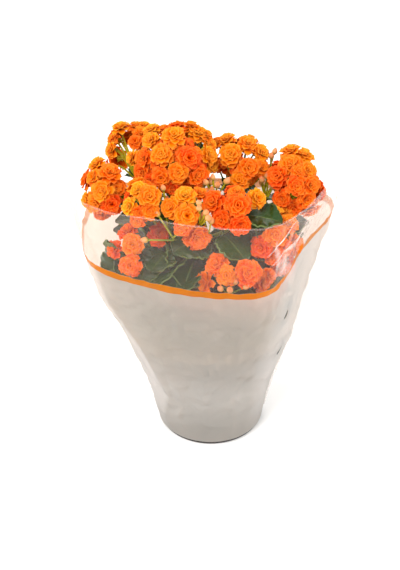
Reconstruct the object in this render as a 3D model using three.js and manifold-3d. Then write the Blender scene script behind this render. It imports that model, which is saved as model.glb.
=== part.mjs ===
// A double-flowered kalanchoe in a plastic pot, standing in its film sleeve.
// Millimetres, +Z up. The origin is the middle of the pot's underside, and the front is towards -Y.

import * as THREE from 'three';
import { mergeVertices } from 'three/addons/utils/BufferGeometryUtils.js';
import { ConvexHull } from 'three/addons/math/ConvexHull.js';
import Module from 'manifold-3d';

const wasm = await Module();
wasm.setup();

// Driving dimensions
const gap = 0.3; // clearance between neighbouring pieces
const pointGrid = 0.004;

const pot = {
  baseRadius: 42.4,
  shoulderRadius: 54.2,
  rimRadius: 60,
  shoulderHeight: 92,
  height: 105,
  wall: 1.6,
  segments: 30,
  drainHoles: 4,
  drainRadius: 4,
  drainCircle: 29,
};

const soil = {
  topHeight: 91,
  mound: 4,
  roughness: 1.1,
  rings: [0, 14, 27, 39, 46],
  segments: 18,
  holeRadius: 5.2,
  holeDepth: 26,
};

const film = {
  wall: 0.8,
  columns: 30,
  rows: [3.5, 40, 76, 106, 134, 160, 178, 198, 224, 250],
  seamPoint: 9.6, // where the left side seam runs, counted in outline points
  seamRise: 6, // how far the rim stands up at that seam
  seamWidth: 0.7,
  riseFrom: 200,
  slitLength: 11,
  slitWidth: 2.2,
  slitTilt: -20,
};

// The film as it hangs: each outline runs anticlockwise from the front, 12 points round the sleeve.
const filmOutlines = [
  { z: 0, points: circleOutline(43.6) },
  { z: 40, points: [[0, -49], [26, -43], [44, -25], [51, 0], [44, 25], [25, 43],
    [0, 50], [-25, 43], [-44, 25], [-51, -1], [-46, -26], [-26, -43]] },
  { z: 100, points: [[0, -64], [33, -56], [57, -34], [67, -2], [57, 33], [32, 55],
    [0, 63], [-32, 55], [-58, 34], [-72, -4], [-62, -35], [-34, -57]] },
  { z: 150, points: [[6, -80], [42, -74], [65, -38], [83, 8], [74, 40], [40, 56],
    [0, 62], [-42, 58], [-74, 40], [-88, -2], [-84, -42], [-42, -72]] },
  { z: 190, points: [[6, -92], [46, -85], [71, -28], [97, 24], [86, 50], [46, 64],
    [0, 68], [-50, 66], [-90, 48], [-101, 4], [-93, -49], [-44, -79]] },
  { z: 222, points: [[12, -93], [49, -85], [75, -37], [101, 14], [94, 54], [52, 69],
    [0, 71], [-56, 71], [-100, 54], [-110, 6], [-98, -52], [-44, -79]] },
  { z: 250, points: [[18, -91], [52, -82], [79, -47], [102, 4], [98, 56], [54, 72],
    [0, 73], [-60, 74], [-106, 60], [-116, 4], [-100, -56], [-42, -78]] },
];

// Two small slits in the right side, as outline point and height
const filmSlits = [
  { around: 1.6, z: 142 },
  { around: 1.8, z: 98 },
];

const floret = {
  spacing: 18, // between neighbours in a head
  tipRadius: 9.5,
  footRadius: 4.8,
  foot: 5, // how far the petals stand off the core
  height: 4.4, // of the inner petals
  notch: 0.8, // where two outer petals part, as a share of the tip radius
  crease: 0.58,
  innerTip: 0.7,
  innerNotch: 0.5,
  lift: 0.6, // how far the outer tips stand above, and their notches below, the floret's plane
  smallest: 0.94,
  largest: 1.06,
};

// One row a head of flowers: the middle of its dome, the dome's radius, which way it leans
// (towards: 0 is the front, 90 the right), how far from upright, and the florets in each ring.
const heads = [
  { name: 'bloom_crown', shoot: 'back_left', hub: [-28, 3, 247], radius: 27,
    towards: 0, lean: 18, rings: [1, 6, 10], turn: 0 },
  { name: 'bloom_back_top_left', shoot: 'back_left', hub: [-62, 32, 237], radius: 20,
    towards: 250, lean: 15, rings: [1, 5, 3], turn: -90 },
  { name: 'bloom_left', shoot: 'front_left', hub: [-76, -6, 230], radius: 20,
    towards: 310, lean: 34, rings: [1, 5, 3], turn: 0 },
  { name: 'bloom_front_left', shoot: 'front_left', hub: [-50, -39, 237], radius: 16,
    towards: 335, lean: 34, rings: [1, 4], turn: -80 },
  { name: 'bloom_front', shoot: 'front_left', hub: [-20, -46, 232], radius: 17,
    towards: 0, lean: 36, rings: [1, 4], turn: 80 },
  { name: 'bloom_front_right', shoot: 'front_right', hub: [17, -39, 229], radius: 20,
    towards: 8, lean: 32, rings: [1, 6], turn: 0 },
  { name: 'bloom_right_top', shoot: 'back_right', hub: [23, 12, 238], radius: 21,
    towards: 10, lean: 16, rings: [1, 5, 3], turn: 0 },
  { name: 'bloom_right', shoot: 'back_right', hub: [66, -5, 233], radius: 20,
    towards: 45, lean: 26, rings: [1, 5, 4], turn: 0 },
  { name: 'bloom_right_low', shoot: 'front_right', hub: [45, -35, 205], radius: 19,
    towards: 22, lean: 44, rings: [1, 5], turn: 0 },
  { name: 'bloom_corner_low', shoot: 'front_right', hub: [18, -56, 186], radius: 21,
    towards: 8, lean: 42, rings: [1, 5], turn: 0 },
  { name: 'bloom_left_low', shoot: 'front_left', hub: [-57, -46, 195], radius: 18,
    towards: 330, lean: 44, rings: [1, 5], turn: 0 },
  { name: 'bloom_back_left', shoot: 'back_left', hub: [-32, 43, 212], radius: 21,
    towards: 190, lean: 26, rings: [1, 5, 2], turn: 0 },
  { name: 'bloom_back', shoot: 'back_right', hub: [15, 43, 206], radius: 20,
    towards: 175, lean: 20, rings: [1, 5], turn: 0 },
  { name: 'bloom_back_right', shoot: 'back_right', hub: [60, 35, 202], radius: 20,
    towards: 130, lean: 26, rings: [1, 5], turn: 0 },
];

// Buds stand in the gaps between the heads: the head whose stalk they share, where they are and how many.
const budSprays = [
  { from: 'bloom_front', middle: [-2, -52, 231], count: 4 },
  { from: 'bloom_crown', middle: [0, -18, 236], count: 4 },
  { from: 'bloom_front_left', middle: [-33, -26, 234], count: 2 },
  { from: 'bloom_front_left', middle: [-52, -4, 236], count: 2 },
  { from: 'bloom_right_top', middle: [44, 0, 234], count: 3 },
  { from: 'bloom_corner_low', middle: [18, -72, 184], count: 3 },
  { from: 'bloom_right', middle: [44, 24, 234], count: 2 },
  { from: 'bloom_back', middle: [-10, 48, 214], count: 2 },
];

// The four rooted cuttings: where each stands, and the compass direction of its sector
// (degrees anticlockwise from +X).
const shoots = [
  { name: 'front_left', heading: 225 },
  { name: 'front_right', heading: 315 },
  { name: 'back_right', heading: 45 },
  { name: 'back_left', heading: 135 },
];

const stem = {
  circle: 22, // how far the cuttings stand from the pot's axis
  foot: 67,
  top: 172,
  outward: 6, // how far a stem leans out over its length
  radius: 4,
  taper: 0.7,
  sides: 6,
  firstStalk: 0.74, // the share of the stem's height at which the lowest stalk leaves it
  stalkSpan: 0.2,
  stalkRadius: 2,
  pedicelRadius: 0.9,
  pedicels: 4, // under each head's core
  coreDepth: 3, // from the lowest floret's foot down to the core's flat underside
  coreShare: 0.4, // that underside's radius, as a share of the dome's
  umbelDrop: 14, // from the underside down to where the pedicels spring
};

const leaf = {
  count: 6, // on each cutting
  firstHeight: 112,
  rise: 13,
  fan: 22, // degrees to either side of the sector's middle, for the lowest leaf
  fanStep: 2.6, // and so much more for each leaf above it
  clearance: 2.5, // to the film
  lowestPitch: 44,
  pitchStep: 6, // each leaf up the stem lies this much flatter
  droop: 26,
  shortest: 46,
  longer: 20,
  narrowest: 33,
  wider: 9,
  thickness: 1.8,
  edge: 0.8,
  lobes: 4, // rounded teeth along each side
  tooth: 1.04,
  notch: 0.9,
  petiole: 0.14, // the share of the length before the blade begins
  petioleWidth: 3.2,
  fold: 0.18, // how much the blade rises from its midrib to its edges
  wave: 1.2,
  ribs: [0.26, 0.5, 0.74],
};

const bud = {
  length: 7.5,
  radius: 2.7,
  sides: 4,
  spread: 6, // of a spray
  forkDrop: 13, // from the middle of a spray down to its fork
  stalkRadius: 1.2,
};

const colours = {
  potPlastic: 0x2e2522,
  soil: 0x3b2a1e,
  film: 0xd8d0c4,
  leaf: 0x3f5a24,
  petals: [0xf0571c, 0xf2701a, 0xf58a18],
};

// Seeded random numbers, the same on every run
function seededRandom(seed) {
  let state = seed;
  return () => {
    state = (state * 16807) % 2147483647;
    return state / 2147483647;
  };
}

function circleOutline(radius) {
  const points = [];
  for (let i = 0; i < 12; i += 1) {
    const angle = (Math.PI * i) / 6;
    points.push([radius * Math.sin(angle), -radius * Math.cos(angle)]);
  }
  return points;
}

function radians(degrees) {
  return (degrees * Math.PI) / 180;
}

// Solids and meshes
function toSolid(geometry, tolerance = 1e-4) {
  const bare = geometry.clone();
  bare.deleteAttribute('normal');
  bare.deleteAttribute('uv');
  const merged = mergeVertices(bare, tolerance);
  const mesh = new wasm.Mesh({
    numProp: 3,
    vertProperties: new Float32Array(merged.attributes.position.array),
    triVerts: new Uint32Array(merged.index.array),
  });
  return new wasm.Manifold(mesh);
}

function toGeometry(solid) {
  const mesh = solid.getMesh();
  const geometry = new THREE.BufferGeometry();
  geometry.setAttribute('position', new THREE.BufferAttribute(mesh.vertProperties, 3));
  geometry.setIndex(new THREE.BufferAttribute(mesh.triVerts, 1));
  return geometry;
}

function joinAll(solids) {
  let round = solids;
  while (round.length > 1) {
    const next = [];
    for (let i = 0; i < round.length; i += 2) {
      next.push(i + 1 < round.length ? round[i].add(round[i + 1]) : round[i]);
    }
    round = next;
  }
  return round[0];
}

// The one whole body of a joined solid: its points are set on a fine grid, where those closer than
// its step become one, and slivers that this leaves loose go
function wholeBody(solid) {
  const geometry = toGeometry(solid);
  const places = geometry.getAttribute('position').array;
  for (let i = 0; i < places.length; i += 1) {
    places[i] = Math.round(places[i] / pointGrid) * pointGrid;
  }
  const pieces = toSolid(geometry, pointGrid / 4).decompose();
  return pieces.reduce((best, piece) => (piece.volume() > best.volume() ? piece : best));
}

// The two triangles of a four-cornered face
function quad(a, b, c, d) {
  return [[a, b, c], [a, c, d]];
}

function indexedGeometry(vertices, triangles) {
  const geometry = new THREE.BufferGeometry();
  const numbers = vertices.flatMap((point) => [point.x, point.y, point.z]);
  geometry.setAttribute('position', new THREE.Float32BufferAttribute(numbers, 3));
  geometry.setIndex(triangles.flat());
  return geometry;
}

function namedMesh(name, geometry, colour, roughness) {
  geometry.computeVertexNormals();
  const material = new THREE.MeshStandardMaterial({ color: colour, roughness, metalness: 0 });
  const mesh = new THREE.Mesh(geometry, material);
  mesh.name = name;
  return mesh;
}

// A closed tube along a smooth line through the points, its radius passing from one end's to the other's
function taperedTube(points, startRadius, endRadius, sides, steps) {
  const curve = new THREE.CatmullRomCurve3(points);
  const frames = curve.computeFrenetFrames(steps, false);
  const vertices = [];
  const triangles = [];
  for (let i = 0; i <= steps; i += 1) {
    const centre = curve.getPointAt(i / steps);
    const radius = startRadius + ((endRadius - startRadius) * i) / steps;
    for (let j = 0; j < sides; j += 1) {
      const angle = (2 * Math.PI * j) / sides;
      vertices.push(centre.clone()
        .addScaledVector(frames.normals[i], radius * Math.cos(angle))
        .addScaledVector(frames.binormals[i], radius * Math.sin(angle)));
    }
  }
  for (let i = 0; i < steps; i += 1) {
    for (let j = 0; j < sides; j += 1) {
      const a = i * sides + j;
      const b = i * sides + ((j + 1) % sides);
      triangles.push(...quad(a, b, b + sides, a + sides));
    }
  }
  const last = steps * sides;
  for (let j = 1; j < sides - 1; j += 1) {
    triangles.push([0, j + 1, j], [last, last + j, last + j + 1]);
  }
  return indexedGeometry(vertices, triangles);
}

// The pot
function makePot() {
  const { baseRadius, shoulderRadius, rimRadius, shoulderHeight, height, wall } = pot;
  const lip = rimRadius - shoulderRadius;
  const profile = [
    [0, 0],
    [baseRadius, 0],
    [shoulderRadius, shoulderHeight],
    [rimRadius - 0.5, shoulderHeight + 1.5],
    [rimRadius, height],
    [rimRadius - wall, height],
    [rimRadius - wall - 0.6, shoulderHeight + wall + 1.5],
    [rimRadius - lip - wall, shoulderHeight + wall],
    [baseRadius - wall + 0.2, wall],
    [0, wall],
  ].map(([r, z]) => new THREE.Vector2(r, z));
  const body = new THREE.LatheGeometry(profile, pot.segments);
  body.rotateX(Math.PI / 2);
  let solid = toSolid(body);
  for (let i = 0; i < pot.drainHoles; i += 1) {
    const angle = (2 * Math.PI * i) / pot.drainHoles;
    const hole = new THREE.CylinderGeometry(pot.drainRadius, pot.drainRadius, 4 * wall, 8);
    hole.rotateX(Math.PI / 2);
    hole.translate(pot.drainCircle * Math.cos(angle), pot.drainCircle * Math.sin(angle), 0);
    solid = solid.subtract(toSolid(hole));
  }
  return toGeometry(solid);
}

function potInside(z) {
  const share = (z - pot.wall) / pot.shoulderHeight;
  const foot = pot.baseRadius - pot.wall + 0.2;
  return foot + (pot.shoulderRadius - pot.wall - foot) * share;
}

// The soil: it fills the pot to just under the shoulder and has a hole for each cutting
function makeSoil() {
  const random = seededRandom(71);
  const { segments } = soil;
  const floor = pot.wall + gap;
  const vertices = [new THREE.Vector3(0, 0, floor)];
  const rows = [];
  const addRow = (radius, height) => {
    const row = [];
    for (let j = 0; j < segments; j += 1) {
      const angle = (2 * Math.PI * j) / segments;
      row.push(vertices.length);
      vertices.push(new THREE.Vector3(radius * Math.cos(angle), radius * Math.sin(angle), height(angle)));
    }
    rows.push(row);
  };
  addRow(potInside(floor) - 2 * gap, () => floor);
  addRow(potInside(soil.topHeight) - 2 * gap, () => soil.topHeight - 1);
  for (const radius of soil.rings.slice(1).reverse()) {
    const crown = soil.mound * (1 - (radius / potInside(soil.topHeight)) ** 2);
    addRow(radius, () => soil.topHeight - 1 + crown + soil.roughness * (2 * random() - 1));
  }
  const top = vertices.length;
  vertices.push(new THREE.Vector3(0, 0, soil.topHeight + soil.mound - 1));
  const triangles = [];
  for (let j = 0; j < segments; j += 1) {
    const k = (j + 1) % segments;
    triangles.push([0, rows[0][k], rows[0][j]]);
    for (let i = 0; i + 1 < rows.length; i += 1) {
      triangles.push(...quad(rows[i][j], rows[i][k], rows[i + 1][k], rows[i + 1][j]));
    }
    const last = rows[rows.length - 1];
    triangles.push([last[j], last[k], top]);
  }
  let solid = toSolid(indexedGeometry(vertices, triangles));
  for (const shoot of shoots) {
    const middle = stemPoint(shoot, (soil.topHeight - stem.foot) / 2 / (stem.top - stem.foot));
    const hole = new THREE.CylinderGeometry(soil.holeRadius, soil.holeRadius, 2 * soil.holeDepth, 10);
    hole.rotateX(Math.PI / 2);
    hole.translate(middle.x, middle.y, stem.foot - gap + soil.holeDepth);
    solid = solid.subtract(toSolid(hole));
  }
  return toGeometry(solid);
}

// The film sleeve
function outlineAt(z) {
  const count = filmOutlines.length;
  let k = 0;
  while (k < count - 2 && filmOutlines[k + 1].z <= z) {
    k += 1;
  }
  const slope = (i, point, axis) => {
    const before = filmOutlines[Math.max(0, i - 1)];
    const after = filmOutlines[Math.min(count - 1, i + 1)];
    return (after.points[point][axis] - before.points[point][axis]) / (after.z - before.z);
  };
  const low = filmOutlines[k];
  const high = filmOutlines[k + 1];
  const step = high.z - low.z;
  const t = (z - low.z) / step;
  return low.points.map((_, p) => [0, 1].map((axis) => (
    (2 * t ** 3 - 3 * t ** 2 + 1) * low.points[p][axis]
    + (t ** 3 - 2 * t ** 2 + t) * slope(k, p, axis) * step
    + (3 * t ** 2 - 2 * t ** 3) * high.points[p][axis]
    + (t ** 3 - t ** 2) * slope(k + 1, p, axis) * step)));
}

function filmPoint(around, z) {
  const points = outlineAt(z);
  const corners = points.map(([x, y]) => new THREE.Vector3(x, y, 0));
  const curve = new THREE.CatmullRomCurve3(corners, true, 'catmullrom');
  const place = curve.getPoint((((around % 12) + 12) % 12) / 12);
  place.z = z;
  return place;
}

function filmOutward(around, z) {
  const along = filmPoint(around + 0.02, z).sub(filmPoint(around - 0.02, z)).normalize();
  return new THREE.Vector3(along.y, -along.x, 0);
}

function makeFilm() {
  const vertices = [];
  const { columns, rows, wall } = film;
  const top = rows[rows.length - 1];
  for (const inset of [0, -wall]) {
    for (const row of rows) {
      for (let j = 0; j < columns; j += 1) {
        const around = (12 * j) / columns;
        const place = filmPoint(around, row).addScaledVector(filmOutward(around, row), inset);
        const fromSeam = (around - film.seamPoint) / film.seamWidth;
        const rimShare = Math.max(0, (row - film.riseFrom) / (top - film.riseFrom));
        place.z += film.seamRise * rimShare * Math.exp(-(fromSeam ** 2));
        vertices.push(place);
      }
    }
  }
  const sheetSize = rows.length * columns;
  const triangles = [];
  for (let i = 0; i + 1 < rows.length; i += 1) {
    for (let j = 0; j < columns; j += 1) {
      const a = i * columns + j;
      const b = i * columns + ((j + 1) % columns);
      const c = b + columns;
      const d = a + columns;
      triangles.push(...quad(a, b, c, d));
      triangles.push([a + sheetSize, c + sheetSize, b + sheetSize]);
      triangles.push([a + sheetSize, d + sheetSize, c + sheetSize]);
    }
  }
  const rim = (rows.length - 1) * columns;
  for (let j = 0; j < columns; j += 1) {
    const k = (j + 1) % columns;
    triangles.push(...quad(k, j, j + sheetSize, k + sheetSize));
    triangles.push(...quad(rim + j, rim + k, rim + k + sheetSize, rim + j + sheetSize));
  }
  let solid = toSolid(indexedGeometry(vertices, triangles));
  for (const slit of filmSlits) {
    solid = solid.subtract(toSolid(slitCutter(slit)));
  }
  return toGeometry(solid);
}

// A lens-shaped prism set square to the film
function slitCutter({ around, z }) {
  const half = film.slitLength / 2;
  const lens = new THREE.Shape();
  lens.moveTo(0, -half);
  lens.quadraticCurveTo(film.slitWidth, 0, 0, half);
  lens.quadraticCurveTo(-film.slitWidth * 0.4, 0, 0, -half);
  const depth = 6;
  const prism = new THREE.ExtrudeGeometry(lens, { depth, bevelEnabled: false, curveSegments: 4 });
  prism.translate(0, 0, -depth / 2);
  prism.rotateZ(radians(film.slitTilt));
  const outward = filmOutward(around, z);
  const sideways = new THREE.Vector3(-outward.y, outward.x, 0);
  const turn = new THREE.Matrix4().makeBasis(sideways, new THREE.Vector3(0, 0, 1), outward);
  prism.applyMatrix4(turn.setPosition(filmPoint(around, z)));
  return prism;
}

// Heads of double flowers
function headAxis(head) {
  const towards = radians(head.towards);
  const lean = radians(head.lean);
  return new THREE.Vector3(
    Math.sin(towards) * Math.sin(lean),
    -Math.cos(towards) * Math.sin(lean),
    Math.cos(lean),
  );
}

// The dome's middle, its axis, and two directions square to that axis
function headFrame(head) {
  const hub = new THREE.Vector3(...head.hub);
  const axis = headAxis(head);
  const side = new THREE.Vector3().crossVectors(axis, new THREE.Vector3(0.3, -1, 0.2)).normalize();
  const front = new THREE.Vector3().crossVectors(side, axis);
  return { hub, axis, side, front };
}

// Each floret of a head: its place on the dome, the way it faces, its twist and its size
function placeFlorets(head, seed) {
  const random = seededRandom(seed);
  const { hub, axis, side, front } = headFrame(head);
  const step = 2 * Math.asin(floret.spacing / 2 / head.radius);
  const florets = [];
  head.rings.forEach((count, ring) => {
    const theta = step * ring;
    const round = Math.floor((2 * Math.PI * Math.sin(theta) * head.radius) / floret.spacing + 0.12);
    const full = Math.max(count, round);
    for (let j = 0; j < count; j += 1) {
      const phi = (2 * Math.PI * (j - (count - 1) / 2)) / Math.max(1, full) + radians(head.turn);
      const tilt = theta + radians(ring ? 4 * (random() - 0.5) : 0);
      const facing = axis.clone().multiplyScalar(Math.cos(tilt))
        .addScaledVector(front, Math.cos(phi) * Math.sin(tilt))
        .addScaledVector(side, Math.sin(phi) * Math.sin(tilt));
      const place = hub.clone().addScaledVector(facing, head.radius);
      const twist = 2 * Math.PI * random();
      const size = floret.smallest + (floret.largest - floret.smallest) * random();
      florets.push({ place, facing, twist, size });
    }
  });
  for (const one of florets) {
    const near = Math.min(...florets.filter((other) => other !== one)
      .map((other) => other.place.distanceTo(one.place)), 2.1 * floret.tipRadius);
    one.size = Math.min(one.size, (0.49 * near) / floret.tipRadius);
  }
  return florets;
}

// A floret's rings of points, from its foot to its middle. Two layers of petals stand one in the
// other's gaps, round a tight centre.
function floretRings(one) {
  const { tipRadius, footRadius, foot, height, lift } = floret;
  const reference = new THREE.Vector3(0.2, 0.3, 1);
  const across = new THREE.Vector3().crossVectors(one.facing, reference).normalize();
  const other = new THREE.Vector3().crossVectors(one.facing, across);
  const ring = (points) => points.map(([radius, rise, turn]) => {
    const angle = one.twist + radians(turn);
    return one.place.clone()
      .addScaledVector(across, one.size * radius * Math.cos(angle))
      .addScaledVector(other, one.size * radius * Math.sin(angle))
      .addScaledVector(one.facing, one.size * rise);
  });
  const fives = [0, 72, 144, 216, 288];
  const single = (radius, rise, turn) => ring(fives.map((a) => [radius, rise, a + turn]));
  const petals = (tip, tipRise, notch, notchRise, turn) => ring(
    fives.flatMap((a) => [[tip, tipRise, a + turn], [notch, notchRise, a + turn + 36]]),
  );
  return {
    base: single(footRadius, -foot, 0),
    outer: petals(tipRadius, lift, floret.notch * tipRadius, -lift, 0),
    crease: single(floret.crease * tipRadius, -lift, 36),
    inner: petals(
      floret.innerTip * tipRadius,
      0.9 * height,
      floret.innerNotch * tipRadius,
      0.5 * height,
      36,
    ),
    tip: one.place.clone().addScaledVector(one.facing, one.size * 0.3 * height),
  };
}

// The head's one solid: a small core under the florets, and each floret raised on its own base
function makeHead(head, florets) {
  const { hub, axis, side, front } = headFrame(head);
  const vertices = [];
  const owner = [];
  const ringsOf = florets.map(floretRings);
  ringsOf.forEach((rings, number) => {
    rings.baseIndex = rings.base.map((point) => {
      owner.push(number);
      vertices.push(point);
      return vertices.length - 1;
    });
  });
  const under = headUnderside(head, vertices);
  for (let i = 0; i < 6; i += 1) {
    const angle = (Math.PI * i) / 3;
    owner.push(-1 - i);
    vertices.push(hub.clone()
      .addScaledVector(axis, under.level)
      .addScaledVector(front, under.radius * Math.cos(angle))
      .addScaledVector(side, under.radius * Math.sin(angle)));
  }
  const hull = new ConvexHull().setFromPoints(vertices);
  const triangles = [];
  for (const face of hull.faces) {
    const corners = [face.edge, face.edge.next, face.edge.next.next]
      .map((edge) => vertices.indexOf(edge.head().point));
    const owners = corners.map((corner) => owner[corner]);
    if (owners[0] < 0 || owners[0] !== owners[1] || owners[1] !== owners[2]) {
      triangles.push(corners);
    }
  }
  for (const rings of ringsOf) {
    const addRing = (points) => points.map((point) => vertices.push(point) - 1);
    const outer = addRing(rings.outer);
    const crease = addRing(rings.crease);
    const inner = addRing(rings.inner);
    const tip = vertices.push(rings.tip) - 1;
    const base = rings.baseIndex;
    for (let k = 0; k < 5; k += 1) {
      const n = (k + 1) % 5;
      const p = (k + 4) % 5;
      // up the outside to a petal's tip and the notch beside it
      triangles.push([base[k], outer[2 * k + 1], base[n]].reverse());
      triangles.push([base[k], outer[2 * k], outer[2 * k + 1]].reverse());
      triangles.push([base[n], outer[2 * k + 1], outer[2 * n]].reverse());
      // in over the outer petals
      triangles.push([outer[2 * k], crease[k], outer[2 * k + 1]].reverse());
      triangles.push([outer[2 * k + 1], crease[k], outer[2 * n]].reverse());
      triangles.push([outer[2 * k], crease[p], crease[k]].reverse());
      // up to the inner petals
      triangles.push([crease[k], inner[2 * k + 1], crease[n]].reverse());
      triangles.push([crease[k], inner[2 * k], inner[2 * k + 1]].reverse());
      triangles.push([crease[n], inner[2 * k + 1], inner[2 * n]].reverse());
      // in over the inner petals to the middle
      triangles.push([inner[2 * k], tip, inner[2 * k + 1]].reverse());
      triangles.push([inner[2 * k + 1], tip, inner[2 * n]].reverse());
    }
  }
  return indexedGeometry(vertices, triangles);
}

// How low a head's core reaches along its axis, and how wide its flat underside is
function headUnderside(head, basePoints) {
  const axis = headAxis(head);
  const hub = new THREE.Vector3(...head.hub);
  let level = Infinity;
  for (const point of basePoints) {
    level = Math.min(level, point.clone().sub(hub).dot(axis));
  }
  return { level: level - stem.coreDepth, radius: stem.coreShare * head.radius };
}

// Where a head's pedicels spring from
function umbelPoint(head, level) {
  const hub = new THREE.Vector3(...head.hub);
  return hub.addScaledVector(headAxis(head), Math.min(-2, level - stem.umbelDrop));
}

// Shoots
function stemPoint(shoot, share) {
  const angle = radians(shoot.heading);
  const reach = stem.circle + stem.outward * share;
  const height = stem.foot + (stem.top - stem.foot) * share;
  return new THREE.Vector3(reach * Math.cos(angle), reach * Math.sin(angle), height);
}

// A fleshy blade with rounded teeth. Its top and underside are split into the same triangles.
function makeLeaf(root, heading, { length, width, pitch }, pad) {
  const out = new THREE.Vector3(Math.cos(heading), Math.sin(heading), 0);
  const side = new THREE.Vector3(-Math.sin(heading), Math.cos(heading), 0);
  const up = new THREE.Vector3(0, 0, 1);
  const droop = radians(leaf.droop);
  const midrib = (s) => {
    const angle = pitch - (droop * s) / 2;
    return root.clone()
      .addScaledVector(out, length * s * Math.cos(angle))
      .addScaledVector(up, length * s * Math.sin(angle));
  };
  const normal = (s) => {
    const slope = pitch - droop * s;
    return up.clone().multiplyScalar(Math.cos(slope)).addScaledVector(out, -Math.sin(slope));
  };
  const halfWidth = (s) => {
    const blade = Math.max(0, (s - leaf.petiole) / (1 - leaf.petiole));
    return leaf.petioleWidth / 2 + (width / 2) * Math.sin(Math.PI * blade ** 0.72) ** 0.75;
  };
  const place = (s, t, reach) => {
    const rise = leaf.fold * reach + leaf.wave * Math.sin(9 * s + 2 * t);
    return midrib(s).addScaledVector(side, t * reach).addScaledVector(normal(s), Math.abs(t) * rise);
  };
  // The rim runs from the foot up the left side to the tip and back down the right side.
  const steps = 2 * leaf.lobes + 1;
  const rim = [{ s: 0, point: place(0, 0, 0) }];
  for (const sign of [1, -1]) {
    for (let i = 0; i <= steps; i += 1) {
      const k = sign > 0 ? i : steps - i;
      const s = 0.02 + 0.95 * (k / steps);
      const tooth = k % 2 === 0 ? leaf.notch : leaf.tooth;
      rim.push({ s, point: place(s, sign, halfWidth(s) * tooth) });
    }
    if (sign > 0) {
      rim.push({ s: 1, point: place(1, 0, 0) });
    }
  }
  const ribs = leaf.ribs.map((s) => ({ s, point: place(s, 0, 0) }));
  const offset = ({ s, point }, depth) => point.clone().addScaledVector(normal(s), depth);
  const face = (direction) => [
    ...rim.map((one) => offset(one, direction * (leaf.edge / 2 + pad))),
    ...ribs.map((one) => offset(one, direction * (leaf.thickness / 2 + pad))),
  ];
  const top = face(1);
  const total = top.length;
  const triangles = [];
  for (const [a, b, c] of bladeFaces(rim, ribs)) {
    triangles.push([a, b, c], [a + total, c + total, b + total]);
  }
  for (let i = 0; i < rim.length; i += 1) {
    const j = (i + 1) % rim.length;
    triangles.push(...quad(i, j, j + total, i + total));
  }
  return indexedGeometry([...top, ...face(-1)], triangles);
}

// Triangles between each side of the rim and the midrib, from the foot to the tip
function bladeFaces(rim, ribs) {
  const count = rim.length;
  const tip = count / 2;
  const spine = [0, ...ribs.map((_, i) => count + i), tip];
  const along = [0, ...ribs.map(({ s }) => s), 1];
  const faces = [];
  for (const [from, to] of [[1, tip - 1], [count - 1, tip + 1]]) {
    const ahead = Math.sign(to - from);
    let i = from;
    let rib = 0;
    while (i !== to || rib < spine.length - 1) {
      const nextRim = i !== to ? rim[i + ahead].s : Infinity;
      const nextRib = rib < spine.length - 1 ? along[rib + 1] : Infinity;
      let triangle;
      if (nextRim <= nextRib) {
        triangle = [i, i + ahead, spine[rib]];
        i += ahead;
      } else {
        triangle = [i, spine[rib + 1], spine[rib]];
        rib += 1;
      }
      faces.push(ahead > 0 ? triangle.reverse() : triangle);
    }
  }
  return faces;
}

// A pointed bud: a narrow foot, a round belly and a tip
function makeBud(place, facing, pad) {
  const rings = [[0.4, 0], [1, 0.5]];
  const reference = new THREE.Vector3(0.3, 0.9, 0.1);
  const across = new THREE.Vector3().crossVectors(facing, reference).normalize();
  const other = new THREE.Vector3().crossVectors(facing, across);
  const { sides } = bud;
  const vertices = [];
  for (const [share, rise] of rings) {
    for (let j = 0; j < sides; j += 1) {
      const angle = (2 * Math.PI * j) / sides;
      const radius = bud.radius * share + pad;
      vertices.push(place.clone()
        .addScaledVector(across, radius * Math.cos(angle))
        .addScaledVector(other, radius * Math.sin(angle))
        .addScaledVector(facing, bud.length * rise));
    }
  }
  const tip = vertices.push(place.clone().addScaledVector(facing, bud.length + pad)) - 1;
  const triangles = [];
  for (let j = 0; j < sides; j += 1) {
    const k = (j + 1) % sides;
    triangles.push(...quad(j, k, k + sides, j + sides), [j + sides, k + sides, tip]);
  }
  for (let j = 1; j < sides - 1; j += 1) {
    triangles.push([0, j + 1, j]);
  }
  return indexedGeometry(vertices, triangles);
}

// Room inside the film
const filmRings = new Map();

function filmRing(z) {
  const level = Math.round(z / 3) * 3;
  if (!filmRings.has(level)) {
    const ring = [];
    for (let j = 0; j < film.columns; j += 1) {
      const around = (12 * j) / film.columns;
      ring.push(filmPoint(around, level).addScaledVector(filmOutward(around, level), -film.wall));
    }
    filmRings.set(level, ring);
  }
  return filmRings.get(level);
}

function insideFilm(point, clearance) {
  if (point.z > film.rows[film.rows.length - 1]) {
    return true;
  }
  const ring = filmRing(point.z);
  return ring.every((corner, j) => {
    const next = ring[(j + 1) % ring.length];
    const run = next.clone().sub(corner);
    const length = Math.hypot(run.x, run.y);
    const share = ((point.x - corner.x) * run.x + (point.y - corner.y) * run.y) / length ** 2;
    const depth = (run.x * (point.y - corner.y) - run.y * (point.x - corner.x)) / length;
    return share < -0.5 || share > 1.5 || depth > clearance;
  });
}

function crosses(solid, others) {
  return others.some((other) => solid.intersect(other).volume() > 1e-6);
}

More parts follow.
